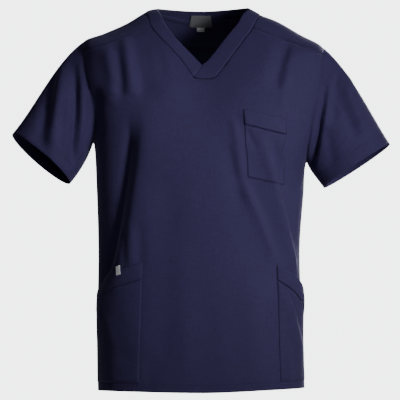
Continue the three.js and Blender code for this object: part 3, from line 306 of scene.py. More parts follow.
def armhole_places(sign, half, angles):
    """Places on an armhole seam. The angle is 0 at the shoulder's top, half a turn at the underarm."""
    angles = np.atleast_1d(np.asarray(angles, float))
    side = np.array(sign * 90 * DEGREE)
    tip, under = smooth_body(
        side, np.array(float(RIDGE_TIP))
    ), smooth_body(side, np.array(float(UNDERARM)))
    drop = (1 - np.cos(angles)) / 2
    reach = ARMHOLE[half] * np.sin(angles) * (1 - ARMHOLE["low_bulge"] * np.cos(angles))
    y = mix(tip[1], under[1], drop) + (-reach if half == "front" else reach)
    inner = 40 if half == "front" else 140
    targets = np.stack([y, mix(tip[2], under[2], drop)], -1)
    places = find_places("side", targets, sign * inner * DEGREE, sign * 90 * DEGREE)
    ends = np.sin(angles) < 1e-6
    places[ends, 0] = side
    places[ends, 1] = np.where(angles[ends] < 1, RIDGE_TIP, UNDERARM)
    return places


def armhole_angle(sign, z):
    side = np.array(sign * 90 * DEGREE)
    tip, under = smooth_body(
        side, np.array(float(RIDGE_TIP))
    )[2], smooth_body(side, np.array(float(UNDERARM)))[2]
    return math.acos(1 - 2 * (z - tip) / (under - tip))


def armhole_step(start, end, share):
    height = mix(1 - np.cos(start), 1 - np.cos(end), share)
    return (mix(start, end, share) + np.arccos(np.clip(1 - height, -1, 1))) / 2


# %% Grids between four edges
def fill_grid(top, bottom, left, right, fade, down=None):
    """Places between four edges. The bends of the side edges die away inwards."""
    s = np.linspace(0, 1, len(top))[None, :, None]
    t = (np.linspace(0, 1, len(left)) if down is None else down)[:, None, None]
    middle = mix(top[None], bottom[None], t)
    bend_left = left[:, None] - mix(top[None, :1], bottom[None, :1], t)
    bend_right = right[:, None] - mix(top[None, -1:], bottom[None, -1:], t)
    return middle + bend_left * (1 - s) ** fade + bend_right * s**fade


def resample(places, count):
    """A smooth line of places with another number of cells."""
    at = np.linspace(0, len(places) - 1, count + 1)
    knots = np.arange(len(places))
    return np.stack([read_smooth(at, knots, places[:, k]) for k in (0, 1)], -1)


# %% [markdown]
# ## Pattern pieces
#
# A tailor cuts the front, the back and the yoke from flat cloth. Here each is a net of places
# between its seams. The lines of the front's net run along the pocket edges, so a pocket can be
# made later from the same points, moved out. Nets whose lines follow the seams make clean edges;
# cutting a regular mesh with booleans would leave ragged ones.

# %% Lines of the front
LINE_HEIGHTS = (-138, -340, -508, -764)
FRONT_LINES = [
    ("left seam", None, 5),
    ("left side", (-186, -182, -180, -184), 4),
    ("left pocket", (-118, -117, -116, -127), 5),
    ("point left", (-14, -28, -38, -42), 3),
    ("point right", (28, 28, 32, 34), 4),
    ("chest left", (79, 93, 92, 96), 3),
    ("right pocket", (130, 134, 150, 158), 3),
    ("chest right", (175, 167, 177, 184), 4),
    ("right seam", None, 0),
]
FRONT_ROWS = [
    ("point of the V", (-138, -138, -138, -138, -138, -138, -138, -138, -138), 4),
    ("chest pocket opening", (-200, -198, -196, -194, -194, -201, -212, -221, -230), 2),
    ("chest band seam", (-231, -230, -228, -226, -226, -232, -243, -252, -261), 3),
    ("underarm", (-268, -270, -272, -276, -278, -284, -293, -300, -306), 3),
    ("chest pocket foot", (-325, -326, -328, -330, -332, -337, -346, -353, -360), 10),
    ("lower pocket opening", (-580, -528, -507, -500, -500, -502, -510, -531, -586), 2),
    ("lower band seam", (-615, -562, -539, -531, -531, -533, -542, -564, -621), 8),
]
UNDERARM_ROW = 3
BODY_HEM, SLEEVE_HEM, NECKBAND = 17, 25, 28
# Each row: inner x and z, then outer x and z, from the point of the V up to the shoulder.
NECK_LEFT = [
    (3, -113, -14, -138), (-14, -96, -36, -107), (-33, -77, -55, -85), (-53, -56, -77, -62),
    (-71, -31, -97, -40), (-80, -12, -105, -19)
]
NECK_RIGHT = [
    (3, -113, 28, -138), (19, -97, 47, -115), (36, -76, 65, -90), (54, -53, 84, -65),
    (72, -31, 103, -39), (83, -12, 111, -23)
]
YOKE_STATION = 4
YOKE = {"front_left": -86, "front_right": -92, "back_middle": -72, "back_end": -88}
SHOULDER_ROWS, YOKE_END, BACK_CELLS, BACK_ARM_ROWS = 4 * FINE, 3 * FINE, 20 * FINE, 8 * FINE


def line_x(line, z):
    return float(read_smooth(-np.array(float(z)), [-h for h in LINE_HEIGHTS], line[1]))


def station(sign, at, edge):
    """A point of the neckband's edge in the front view, at a station that may lie between two rows."""
    rows = np.array(NECK_LEFT if sign < 0 else NECK_RIGHT, float)
    column = 0 if edge == "inner" else 2
    knots = np.arange(len(rows))
    return read_smooth(at, knots, rows[:, column]), read_smooth(at, knots, rows[:, column + 1])


def yoke_angle(sign, half):
    height = YOKE["back_end"] if half == "back" else YOKE[
        "front_left" if sign < 0 else "front_right"
    ]
    return armhole_angle(sign, height)


# %% The front's net
def front_seam(sign, row, shares):
    column = 0 if sign < 0 else -1
    z = FRONT_ROWS[row][1][column]
    if row < UNDERARM_ROW:
        ends_at = math.pi if row + 1 == UNDERARM_ROW else armhole_angle(
            sign, FRONT_ROWS[row + 1][1][column]
        )
        return armhole_places(sign, "front", armhole_step(armhole_angle(sign, z), ends_at, shares))
    turn = np.array([sign * 90 * DEGREE])
    start = UNDERARM if row == UNDERARM_ROW else level_at_height(turn, z)[0]
    end = HEM - BODY_HEM
    if row + 1 < len(FRONT_ROWS):
        end = level_at_height(turn, FRONT_ROWS[row + 1][1][column])[0]
    return np.stack([np.full(len(shares), turn[0]), mix(start, end, shares)], -1)


def spread(nodes):
    parts = [nodes[:1]]
    for k in range(len(nodes) - 1):
        cells = FRONT_LINES[k][2] * FINE
        parts.append(mix(nodes[k], nodes[k + 1], (np.arange(cells) + 1)[:, None] / cells))
    return np.concatenate(parts)


def front_row(row):
    z = FRONT_ROWS[row][1]
    inner = [(line_x(line, z[k]), z[k]) for k, line in enumerate(FRONT_LINES) if line[1]]
    places = on_front(*np.array(inner).T)
    ends = [front_seam(sign, row, np.array([0.0])) for sign in (-1, 1)]
    return spread(np.concatenate([ends[0], places, ends[1]]))


def hem_row(level):
    z = LINE_HEIGHTS[-1] + 5
    inner = on_front(
        np.array([line_x(line, z) for line in FRONT_LINES if line[1]]), np.full(7, float(z))
    )
    turns = np.concatenate([[-90 * DEGREE], inner[:, 0], [90 * DEGREE]])
    return spread(np.stack([turns, np.full(len(turns), float(level))], -1))


def front_net():
    parts, first_row, count = [], {}, 0
    for row, (name, _, cells) in enumerate(FRONT_ROWS):
        last = row + 1 == len(FRONT_ROWS)
        bottom = hem_row(HEM - BODY_HEM) if last else front_row(row + 1)
        shares = np.linspace(0, 1, cells * FINE + 1)
        part = fill_grid(
            front_row(row), bottom, front_seam(-1, row, shares), front_seam(1, row, shares), 5
        )
        first_row[name] = count
        parts.append(part if last else part[:-1])
        count += len(parts[-1])
    first_row["hem seam"] = count - 1
    below = [hem_row(HEM - BODY_HEM * (1 - k / 4))[None] for k in (1, 2, 3, 4)]
    return np.concatenate(parts + below), first_row


front_places, row_of = front_net()
column_of, reached = {}, 0
for line_name, _, line_cells in FRONT_LINES:
    column_of[line_name] = reached
    reached += line_cells * FINE
print("front net:", front_places.shape[:2], "rows and columns")


# %% Shoulders, yoke and back
def yoke_front_seam(sign, cells):
    x, z = station(sign, np.array(float(YOKE_STATION)), "outer")
    end = armhole_places(sign, "front", [yoke_angle(sign, "front")])
    far = smooth_body(end[0, 0], end[0, 1])
    t = np.linspace(0, 1, cells + 1)[:-1]
    return np.concatenate([on_front(mix(x, far[0], t), mix(z, far[2], t)), end])


def shoulder_net(sign, bottom):
    at = np.linspace(0, YOKE_STATION, SHOULDER_ROWS + 1)
    inner = on_front(*station(sign, at, "outer"))
    inner[0] = bottom[0]
    angles = np.linspace(
        armhole_angle(sign, FRONT_ROWS[0][1][0]), yoke_angle(sign, "front"), SHOULDER_ROWS + 1
    )
    outer = armhole_places(sign, "front", angles)
    return fill_grid(bottom, yoke_front_seam(sign, len(bottom) - 1), inner, outer, 1)


def turned_back(places):
    places = places.copy()
    places[places[:, 0] > 0, 0] -= 2 * math.pi
    return places


def neck_front(sign, edge):
    """The neckband's edge from the V up to just before the shoulder's ridge."""
    places = on_front(*station(sign, np.arange(6.0), edge))
    ridge = np.array([sign * 90 * DEGREE, 0 if edge == "inner" else NECKBAND])
    return np.concatenate([places, [mix(places[-1], ridge, 0.5)]])


def neck_back(level):
    degrees = np.concatenate([[90, 93, 96], np.linspace(100, 260, 21), [264, 267, 270]])
    return np.stack([-degrees * DEGREE, np.full(len(degrees), float(level))], -1)


def yoke_back_seam():
    left = armhole_places(-1, "back", [yoke_angle(-1, "back")])
    right = turned_back(armhole_places(1, "back", [yoke_angle(1, "back")]))
    turns = np.linspace(left[0, 0], right[0, 0], BACK_CELLS + 1)[1:-1]

    def height(x):
        return mix(YOKE["back_middle"], YOKE["back_end"], np.minimum(np.abs(x) / 228, 1) ** 2)

    return np.concatenate([left, np.stack([turns, level_at_height(turns, height)], -1), right])


def yoke_end(sign):
    front = armhole_places(
        sign, "front", yoke_angle(sign, "front") * np.linspace(1, 0, YOKE_END + 1)
    )
    back = armhole_places(
        sign, "back", yoke_angle(sign, "back") * np.linspace(0, 1, YOKE_END + 1)[1:-1]
    )
    return np.concatenate([front, back])


def yoke_net(cells):
    left, right = yoke_front_seam(-1, cells), turned_back(yoke_front_seam(1, cells))
    outer = np.concatenate([yoke_end(-1), yoke_back_seam(), turned_back(yoke_end(1))[::-1]])
    neck = [
        neck_front(-1, "outer")[YOKE_STATION:], neck_back(NECKBAND),
        turned_back(neck_front(1, "outer")[YOKE_STATION:])[::-1]
    ]
    inner = resample(np.concatenate(neck), len(outer) - 1)
    return fill_grid(inner, outer, left, right, 5)


def back_net():
    top = yoke_back_seam()
    sides = []
    for sign in (-1, 1):
        shares = np.linspace(0, 1, BACK_ARM_ROWS + 1)[:-1]
        arm = armhole_places(sign, "back", armhole_step(yoke_angle(sign, "back"), math.pi, shares))
        seam = front_places[row_of["underarm"] :, 0 if sign < 0 else -1]
        sides.append(np.concatenate([arm, seam]))
    left, right = sides[0], turned_back(sides[1])
    share = (UNDERARM - 110) / (HEM - 110)
    below = mix(share, 1, (left[BACK_ARM_ROWS:, 1] - UNDERARM) / (HEM - UNDERARM))
    down = np.concatenate([share * np.arange(BACK_ARM_ROWS) / BACK_ARM_ROWS, below])
    turns = np.linspace(-90, -270, BACK_CELLS + 1) * DEGREE
    bottom = np.stack([turns, np.full(len(turns), float(HEM))], -1)
    return fill_grid(top, bottom, left, right, 5, down)


point_left, point_right = column_of["point left"], column_of["point right"]
shoulder_left = shoulder_net(-1, front_places[0, : point_left + 1][::-1])
shoulder_right = shoulder_net(1, front_places[0, point_right:])
yoke_places = yoke_net(point_left)
back_places = back_net()
print("yoke net:", yoke_places.shape[:2], "back net:", back_places.shape[:2])

# %% [markdown]
# ## From nets to cloth shells
#
# Cloth has hardly any thickness, so each piece is a single net of faces with a Solidify modifier.
# Drawing both sides of the wall by hand would double the work. The last few millimetres of a
# piece dip inwards and stop short of the seam line: side by side, two such edges make the pressed
# groove of a sewn seam, which catches the shadow that a flat join would not.

# %% Meshes from nets
EDGE = 1.6
DIP = 0.55
CLOTH = 0.7
made = {}


def edge_lines(net, sides):
    """Adds a line of places just inside each named edge, so that the edge itself can dip."""
    for side in sides:
        work = net if side in "tb" else net.swapaxes(0, 1)
        work = work if side in "tl" else work[::-1]
        points = smooth_body(work[:2, :, 0], work[:2, :, 1])
        share = np.clip(EDGE / np.linalg.norm(points[1] - points[0], axis=-1), 0.05, 0.8)
        line = mix(work[0], work[1], share[:, None])
        work = np.concatenate([work[:1], line[None], work[1:]])
        work = work if side in "tl" else work[::-1]
        net = work if side in "tb" else work.swapaxes(0, 1)
    return net


def dips(net, sides):
    lift = np.zeros(net.shape[:2])
    for side in sides:
        lift[{"t": np.s_[0], "b": np.s_[-1], "l": np.s_[:, 0], "r": np.s_[:, -1]}[side]] = -DIP
    return lift


def body_patch(net, lift):
    """Points of a net in millimetres, with its weave coordinates."""
    turn, level = net[..., 0], net[..., 1]
    points = body(turn, level) + body_normal(turn, level) * np.asarray(lift)[..., None]
    return points, np.stack([turn * 160, level], -1)


def weld(patches, outward):
    """One list of points and faces from several patches; points that meet become one."""
    points, faces, uvs, seen = [], [], [], {}
    for grid, uv in patches:
        rows, columns = grid.shape[:2]
        number = np.zeros((rows, columns), int)
        for j in range(rows):
            for i in range(columns):
                key = tuple(np.round(grid[j, i], 3))
                number[j, i] = seen.setdefault(key, len(seen))
                if number[j, i] == len(points):
                    points.append(grid[j, i])
        middle = grid[rows // 2, columns // 2]
        a, b = grid[rows // 2 - 1, columns // 2] - middle, grid[
            rows // 2, columns // 2 - 1
        ] - middle
        keep = np.dot(np.cross(a, b), outward(middle)) > 0
        for j in range(rows - 1):
            for i in range(columns - 1):
                corners = [(j, i), (j, i + 1), (j + 1, i + 1), (j + 1, i)]
                corners = corners if not keep else corners[::-1]
                ring = [number[c] for c in corners]
                if len(set(ring)) == 4:
                    faces.append(ring)
                    uvs.append([uv[c] for c in corners])
                elif len(set(ring)) == 3:
                    first = [k for k in range(4) if ring.index(ring[k]) == k]
                    faces.append([ring[k] for k in first])
                    uvs.append([uv[corners[k]] for k in first])
    return np.array(points), faces, uvs


def vertex_normals(points, faces):
    total = np.zeros_like(points)
    for face in faces:
        cross = np.cross(points[face[1]] - points[face[0]], points[face[2]] - points[face[0]])
        for k in face:
            total[k] += cross
    return total / np.maximum(np.linalg.norm(total, axis=1, keepdims=True), 1e-9)


def drawn_in(points, faces, distance):
    """Moves every free edge inwards, so that two pieces stop short of their seam line."""
    used = {(f[k], f[(k + 1) % len(f)]) for f in faces for k in range(len(f))}
    normals, inward = vertex_normals(points, faces), np.zeros_like(points)
    for a, b in used:
        if (b, a) not in used:
            side = np.cross((normals[a] + normals[b]) / 2, points[b] - points[a])
            inward[a] += side / max(np.linalg.norm(side), 1e-9)
            inward[b] += side / max(np.linalg.norm(side), 1e-9)
    size = np.linalg.norm(inward, axis=1, keepdims=True)
    return points + distance * inward / np.maximum(size, 1e-9) * (size > 0)


def add_mesh(name, points, faces, uvs=None):
    mesh = bpy.data.meshes.new(name)
    mesh.from_pydata(
        (np.asarray(points) * 0.001).tolist(), [], [[int(k) for k in f] for f in faces]
    )
    if uvs is not None:
        layer = mesh.uv_layers.new(name="weave")
        layer.data.foreach_set("uv", (np.concatenate([np.array(u) for u in uvs]) * 0.001).ravel())
    mesh.polygons.foreach_set("use_smooth", [True] * len(mesh.polygons))
    piece = bpy.data.objects.new(name, mesh)
    bpy.context.collection.objects.link(piece)
    made[name] = piece
    return piece


def add_cloth(name, patches, outward, thickness=CLOTH, inset=0.35):
    points, faces, uvs = weld(patches, outward)
    if inset:
        points = drawn_in(points, faces, inset)
    piece = add_mesh(name, points, faces, uvs)
    wall = piece.modifiers.new("wall", "SOLIDIFY")
    wall.thickness, wall.offset = thickness * 0.001, 0
    area = sum(p.area for p in piece.data.polygons)
    print(f"{name}: {len(faces)} faces, {area:.3f} square metres")
    return piece


def away_from_middle(point):
    return point - np.array([0, 0, min(point[2], -140)])


# %% [markdown]
# ## Front, back and yoke
#
# The front carries its two shoulder parts in one piece, as it is cut. At the hem the cloth turns
# inside and runs back up for 17 mm, which makes the soft round edge and the double thickness of
# a real hem. A thicker wall there would look the same from afar and wrong from below.

# %% Body panels
def with_hem(net, lift):
    """The net with its turned hem: round the edge, and up again on the inside."""
    rows = net[[-1, -1, -2, -3, -4, -5]]
    inside = np.array([-0.5, -1.0, -1.0, -1.0, -1.0, -1.0])
    return np.concatenate([net, rows]), np.concatenate(
        [lift, np.repeat(inside[:, None], net.shape[1], 1)]
    )


def shoulder_patch(net):
    net = edge_lines(net, "lrb")
    return body_patch(net, dips(net, "lrb"))


main_net = edge_lines(front_places, "lr")
main_lift = dips(main_net, "lr")
main_lift[0, point_left + 2 : point_right + 1] = -DIP
main_lift[0, point_left + 1] = main_lift[0, point_right + 1] = -DIP
front = add_cloth(
    "front_cloth",
    [
        body_patch(*with_hem(main_net, main_lift)), shoulder_patch(shoulder_left),
        shoulder_patch(shoulder_right)
    ],
    away_from_middle,
)
back_fine = edge_lines(back_places, "tlr")
back = add_cloth(
    "back_cloth", [body_patch(*with_hem(back_fine, dips(back_fine, "tlr")))], away_from_middle
)
yoke_fine = edge_lines(yoke_places, "tblr")
add_cloth("yoke_cloth", [body_patch(yoke_fine, dips(yoke_fine, "tblr"))], away_from_middle)

# %% [markdown]
# ## Neckband
#
# The neckband is one doubled strip. Its right end laps over the left one at the cut-off point of
# the V. Each cross-section is a low crown with rolled edges, since a pressed double strip is
# thickest in its middle. The strip rises a little from the lower end of the lap to the upper one.

# %% Neckband strip and lap
BAND_ROWS = 3 * FINE
inner_line = np.concatenate(
    [neck_front(-1, "inner"), neck_back(0), turned_back(neck_front(1, "inner"))[::-1]]
)
outer_line = np.concatenate(
    [neck_front(-1, "outer"), neck_back(NECKBAND), turned_back(neck_front(1, "outer"))[::-1]]
)
outer_line[0] = front_places[0, point_left]
outer_line[-1] = turned_back(front_places[0, point_right : point_right + 1])[0]
band_cells = (len(inner_line) - 1) * FINE
crown = 0.35 + 0.55 * np.sin(np.linspace(0, math.pi, BAND_ROWS + 1)) ** 0.6


def unwrap(line):
    """Keeps the turns of a line running one way, so that they can be read smoothly."""
    line = line.copy()
    line[:, 0] = np.unwrap(line[:, 0])
    return line


inner_fine, outer_fine = resample(unwrap(inner_line), band_cells), resample(
    unwrap(outer_line), band_cells
)
across = np.linspace(0, 1, BAND_ROWS + 1)
band_net = mix(inner_fine[None], outer_fine[None], across[:, None, None])
rise = np.linspace(0.0, 0.9, band_cells + 1)
band_lift = crown[:, None] + rise[None]
band_lift[0] -= 0.5
band_lift[-1] -= 0.75
band_points, _ = body_patch(band_net, band_lift)
along = np.concatenate(
    [[0], np.cumsum(np.linalg.norm(np.diff(band_points[BAND_ROWS // 2], axis=0), axis=1))]
)
band_uv = np.stack(np.broadcast_arrays(along[None], across[:, None] * NECKBAND), -1)
lap_cells = point_right - point_left
low_edge = front_places[0, point_left : point_right + 1].copy()
tip = inner_fine[-1].copy()
tip[0] = (tip[0] + math.pi) % (2 * math.pi) - math.pi
fan_net = np.stack([mix(tip[None], low_edge, t) for t in across])
fan_lift = np.repeat((crown + 0.9)[:, None], lap_cells + 1, 1)
fan_lift[0] -= 0.5
fan_lift[-1] -= 0.75
fan_points, fan_uv = body_patch(fan_net, fan_lift)
fan_points[:, -1] = band_points[:, -1]
add_cloth(
    "neckband_cloth", [(band_points, band_uv), (fan_points, fan_uv)], away_from_middle, 1.3, 0.3
)

# %% [markdown]
# ## Sleeves
#
# Each sleeve is a tube from the armhole seam to the cuff. Every line down the tube is one smooth
# curve with a set direction at both ends, so the sleeve leaves the shoulder softly and meets the
# cuff square. The cuff is turned in like the hem, and the mouth stays open.

# %% Sleeve tables
SLEEVE_COLUMNS = (
    "name", "sign", "top_x", "top_z", "low_x", "low_z", "depth", "y", "lean", "lift", "under_x"
)
SLEEVES = [
    ("sleeve_left", -1, -380, -254, -265, -353, 60, -34, 12, 5, -0.3),
    ("sleeve_right", 1, 376, -268, 244, -355, 62, -14, 5, -3, 0.3),
]
SLEEVE_FOLDS = {
    "sleeve_left": [
        ("front", -222, -150, -230, -300, -4, 9, 9, -5),
        ("front", -250, -86, -257, -330, 4, 10, 7, -12),
        ("front", -237, -84, -242, -316, 4, 7, 12, 5),
        ("front", -268, -104, -297, -312, -5, 12, 11, 9),
        ("front", -288, -108, -318, -296, -5, 14, 8, -6),
        ("front", -264, -150, -268, -322, 0, 7, 7, 2.4),
        ("back", -246, -120, -252, -330, -6, 12, 14, -7),
        ("front", -300, -150, -345, -290, 8, 10, 12, -2.0),
        ("front", -256, -90, -290, -180, 4, 9, 10, -2.2),
        ("back", -270, -120, -310, -300, 6, 12, 12, 2.4),
        ("back", -290, -150, -340, -280, 4, 10, 12, -2.2),
    ],
    "sleeve_right": [
        ("front", 247, -124, 216, -330, 5, 13, 6, -16),
        ("front", 258, -116, 240, -250, 3, 8, 9, 5),
        ("front", 272, -118, 262, -240, 0, 9, 10, -5),
        ("front", 270, -150, 318, -272, -3, 12, 9, -5),
        ("front", 278, -112, 336, -262, -4, 10, 15, 6),
        ("front", 244, -220, 262, -330, 4, 10, 12, -3),
        ("back", 254, -120, 246, -330, 6, 14, 12, -7),
        ("back", 276, -130, 310, -300, -6, 12, 12, 2.4),
        ("back", 296, -150, 336, -290, -4, 10, 12, -2.2),
    ],
}
SLEEVE_ROWS, ARM_COLUMNS = 10 * FINE, 12 * FINE
GAP, SOLID_CLOTH = 0.3, 1.6


def unit(v):
    return v / np.linalg.norm(v, axis=-1, keepdims=True)


def grid_normals(points):
    """Normals of a closed tube of points, rows down and columns round."""
    down = np.gradient(points, axis=0)
    round_ = np.roll(points, -1, axis=1) - np.roll(points, 1, axis=1)
    return unit(np.cross(down, round_))


# %% Sleeve tubes
def armhole_round(sign):
    shares = np.linspace(0, 1, ARM_COLUMNS + 1)
    angles = np.array([armhole_step(0.0, math.pi, s) for s in shares])
    up = armhole_places(sign, "front", angles[::-1])
    return np.concatenate([up, armhole_places(sign, "back", angles[1:-1])])


def sleeve_tube(row):
    s = dict(zip(SLEEVE_COLUMNS, row))
    places = armhole_round(s["sign"])
    seam = body(places[:, 0], places[:, 1])
    normal = slope_normal(smooth_body, places[:, 0], places[:, 1], 0.004, 1.5)
    steps = np.linalg.norm(np.roll(seam, -1, axis=0) - seam, axis=1)
    angle = 2 * math.pi * np.concatenate([[0], np.cumsum(steps)[:-1]]) / steps.sum()
    top, low = np.array([s["top_x"], s["y"], s["top_z"]], float), np.array(
        [s["low_x"], s["y"], s["low_z"]], float
    )
    long = (low - top) / 2
    down = unit(np.array([long[2], 0, -long[0]]))
    down = down if down[2] < 0 else -down
    centre = (top + low) / 2 - down * s["lift"]
    lean = s["lean"] * DEGREE
    forward = np.array([0, -math.cos(lean), 0]) - down * math.sin(lean)
    axis = down * math.cos(lean) + np.array([0, -math.sin(lean), 0])
    under, slope = unit(np.array([s["under_x"], 0, -1])), unit(
        np.array([s["sign"] * 0.9, 0, -0.44])
    )
    cuff = centre + long * np.cos(angle)[:, None] + forward * (s["depth"] * np.sin(angle))[:, None]
    tangent = unit(np.roll(seam, -1, axis=0) - np.roll(seam, 1, axis=0))
    away = unit(np.cross(tangent, normal))
    away *= np.sign((away * (seam.mean(0) - seam)).sum(-1))[:, None]
    at_top, at_under = ((1 - np.cos(angle)) / 2)[:, None], (((1 + np.cos(angle)) / 2) ** 2)[:, None]
    start = mix(axis, under, at_under)
    start = unit(mix(start, slope, 0.6 * at_top))
    bend = np.arccos(np.clip((start * away).sum(-1), -1, 1))[:, None]
    first = seam + away * (
        GAP + SOLID_CLOTH / 2 * np.sin(bend)
    ) + normal * (SOLID_CLOTH + GAP) * (1 - np.cos(bend)) / 2
    length = np.linalg.norm(cuff - first, axis=1)[None, :, None]
    hem_at = 1 - SLEEVE_HEM / length
    t = np.concatenate(
        [
            hem_at * (np.arange(SLEEVE_ROWS + 1) / SLEEVE_ROWS)[:, None, None],
            mix(hem_at, 1, np.linspace(0, 1, 6)[1:, None, None])
        ]
    )
    points = first * (2 * t**3 - 3 * t**2 + 1) + start * 0.9 * length * (t**3 - 2 * t**2 + t)
    points = points + cuff * (3 * t**2 - 2 * t**3) + axis * 0.9 * length * (t**3 - t**2)
    normals = grid_normals(points)
    quarter = ARM_COLUMNS // 2
    normals *= -np.sign(normals[6, quarter, 1])
    facing = -normals[..., 1]
    fade = smooth_step(0.02, 0.25, t[..., 0]) * smooth_step(0.05, 0.5, np.abs(facing))
    rows = SLEEVE_FOLDS[s["name"]]
    front_side = fold_height(rows, "front", points[..., 0], points[..., 2])
    back_side = fold_height(rows, "back", points[..., 0], points[..., 2])
    points = points + normals * (fade * np.where(facing > 0, front_side, back_side))[..., None]
    normals = grid_normals(points)
    normals *= -np.sign(normals[6, quarter, 1])
    tucked = first - away * 2.4 - normal * 1.1
    inside = [points[-1] - normals[-1] * 0.5 + axis * 0.2] + [
        points[k] - normals[k] * 1.0 for k in (-1, -2, -3, -4, -5, -6)
    ]
    tube = np.concatenate([tucked[None], points, np.array(inside)])
    tube[1] -= normals[0] * 0.5
    uv_down = np.concatenate([[-2], (t * length)[:, 0, 0], [236, 236, 231, 226, 221, 216, 211]])
    uv = np.stack(np.broadcast_arrays((angle * 60)[None], uv_down[:, None]), -1)
    closed = np.concatenate([tube, tube[:, :1]], axis=1)
    uv = np.concatenate([uv, uv[:, :1] + [2 * math.pi * 60, 0]], axis=1)
    return closed, uv, seam, normal, away, points, normals


sleeves = {}
for row in SLEEVES:
    sleeves[row[0]] = sleeve_tube(row)
    tube, uv = sleeves[row[0]][:2]
    middle = tube[len(tube) // 2].mean(0)
    add_cloth(row[0] + "_cloth", [(tube, uv)], lambda point, middle=middle: point - middle, inset=0)

# %% [markdown]
# ## Pockets
#
# A patch pocket is a second layer on the front, so it is made from the front's own points, moved
# out. It hugs the cloth at its sewn edges and stands off at its opening, where a hand goes in.
# The opening is finished with a doubled band, a separate strip that is a little thicker.

# %% Pocket layers
def stand(columns, rows, amount):
    def lift(i, j):
        s = (i - columns[0]) / (columns[1] - columns[0])
        t = (j - rows[0]) / (rows[1] - rows[0])
        return 0.8 + amount * np.sin(math.pi * s) * (1 - smooth_step(0, 1, t)) ** 1.5
    return lift


def pocket_patch(columns, rows, lift, extra):
    j, i = np.meshgrid(
        np.arange(rows[0], rows[1] + 1), np.arange(columns[0], columns[1] + 1), indexing="ij"
    )
    net = front_places[rows[0] : rows[1] + 1, columns[0] : columns[1] + 1]
    height = lift(i, j) + extra
    height[:, [0, -1]] -= 0.3
    return body_patch(net, height)


right_end = column_of["right seam"]
low_rows = (row_of["lower pocket opening"], row_of["lower band seam"], row_of["hem seam"])
chest_rows = (
    row_of["chest pocket opening"], row_of["chest band seam"], row_of["chest pocket foot"]
)
POCKETS = {
    "chest_pocket": (
        (column_of["chest left"], column_of["chest right"]), chest_rows, 2.2, "chest_pocket_band"
    ),
    "lower_pocket_left": ((0, column_of["left pocket"]), low_rows, 5, "lower_pocket_band_left"),
    "lower_pocket_right": (
        (column_of["right pocket"], right_end), low_rows, 11, "lower_pocket_band_right"
    ),
}
for name, (columns, (opening, seam_row, foot), amount, band_name) in POCKETS.items():
    lift = stand(columns, (opening, foot), amount)
    bag, uv = pocket_patch(columns, (seam_row, foot), lift, 0.0)
    bag[0] -= body_normal(*front_places[seam_row, columns[0] : columns[1] + 1].T) * 0.3
    add_cloth(name + "_cloth", [(bag, uv)], away_from_middle, 0.8, 0.3)
    strip, uv = pocket_patch(columns, (opening, seam_row), lift, 0.35)
    strip[-1] -= body_normal(*front_places[seam_row, columns[0] : columns[1] + 1].T) * 0.25
    add_cloth(band_name + "_cloth", [(strip, uv)], away_from_middle, 1.3, 0.3)

# %% [markdown]
# ## Label, size tab and pocket tag
#
# Small trims tell the eye how large a garment is. All three are bare here. The label and its tab
# follow the back of the neck on the inside, and the tag is sewn over the edge of a pocket band.

# %% Small trims
LABEL = {"width": 40, "height": 30, "drop": 9}
TAB = {"width": 13, "height": 12, "side": -0.5}
TAG = {"width": 11, "height": 18}


def neck_patch(middle, width, start, height, columns, rows, depth):
    turn = math.pi - (middle + np.linspace(-width / 2, width / 2, columns + 1)) / 76
    level = np.linspace(start, start + height, rows + 1)
    net = np.stack(np.meshgrid(turn, level), -1)
    bulge = np.sin(np.linspace(0, math.pi, rows + 1))[:, None] * 0.5
    points, _ = body_patch(net, -depth - bulge + 0 * net[..., 0])
    uv = np.stack(
        np.meshgrid(np.linspace(0, width, columns + 1), np.linspace(0, height, rows + 1)), -1
    )
    return points, uv


def towards_neck(point):
    return np.array([0.0, -1.0, 0.0])


add_cloth(
    "neck_label_cloth",
    [neck_patch(0, LABEL["width"], LABEL["drop"], LABEL["height"], 24, 16, 1.8)], towards_neck, 0.5,
    0
)
tab_start = LABEL["drop"] + LABEL["height"] - 1.5
add_cloth(
    "size_tab_cloth", [neck_patch(TAB["side"], TAB["width"], tab_start, TAB["height"], 10, 8, 1.2)],
    towards_neck, 0.4, 0
)
tag_column = 6 * FINE
tag_lift = stand(
    (0, column_of["left pocket"]), (low_rows[0], low_rows[2]), 5
)(tag_column, low_rows[0]) + 1.35
corner_places = front_places[
    [low_rows[0], low_rows[0], low_rows[0] + FINE], [tag_column, tag_column + FINE, tag_column]
]
corner_points = body(*corner_places.T) + body_normal(*corner_places.T) * tag_lift
tag_side, tag_fall = unit(corner_points[1] - corner_points[0]), unit(
    corner_points[2] - corner_points[0]
)
across_tag = np.linspace(2, 2 + TAG["width"], 9)[None, :, None]
down_tag = np.linspace(-8, TAG["height"] - 8, 15)[:, None, None]
tag_out = body_normal(*corner_places[0])
wave = 0.35 * np.sin(np.linspace(0, math.pi, 15))[:, None, None]
tag_points = corner_points[0] + tag_side * across_tag + tag_fall * down_tag + tag_out * wave
tag_uv = np.concatenate(np.broadcast_arrays(across_tag, down_tag), -1)
add_cloth("pocket_tag_cloth", [(tag_points, tag_uv)], away_from_middle, 0.7, 0)

# %% [markdown]
# ## Seam allowances
#
# Inside a real garment the two cut edges of every seam lie folded behind it. Without them the
# grooves between the panels would let daylight through, which no sewn cloth does. Each allowance
# is a narrow ribbon along the seam line, a little below the panels.

# %% Ribbons behind the seams
def ribbon(line, normals, width, depth):
    side = unit(np.cross(normals, unit(np.gradient(line, axis=0))))
    offsets = np.linspace(-width / 2, width / 2, 4)
    points = np.stack([line + side * offset - normals * depth for offset in offsets])
    along_it = np.concatenate([[0], np.cumsum(np.linalg.norm(np.diff(line, axis=0), axis=1))])
    return points, np.stack(np.broadcast_arrays(along_it[None], offsets[:, None]), -1)


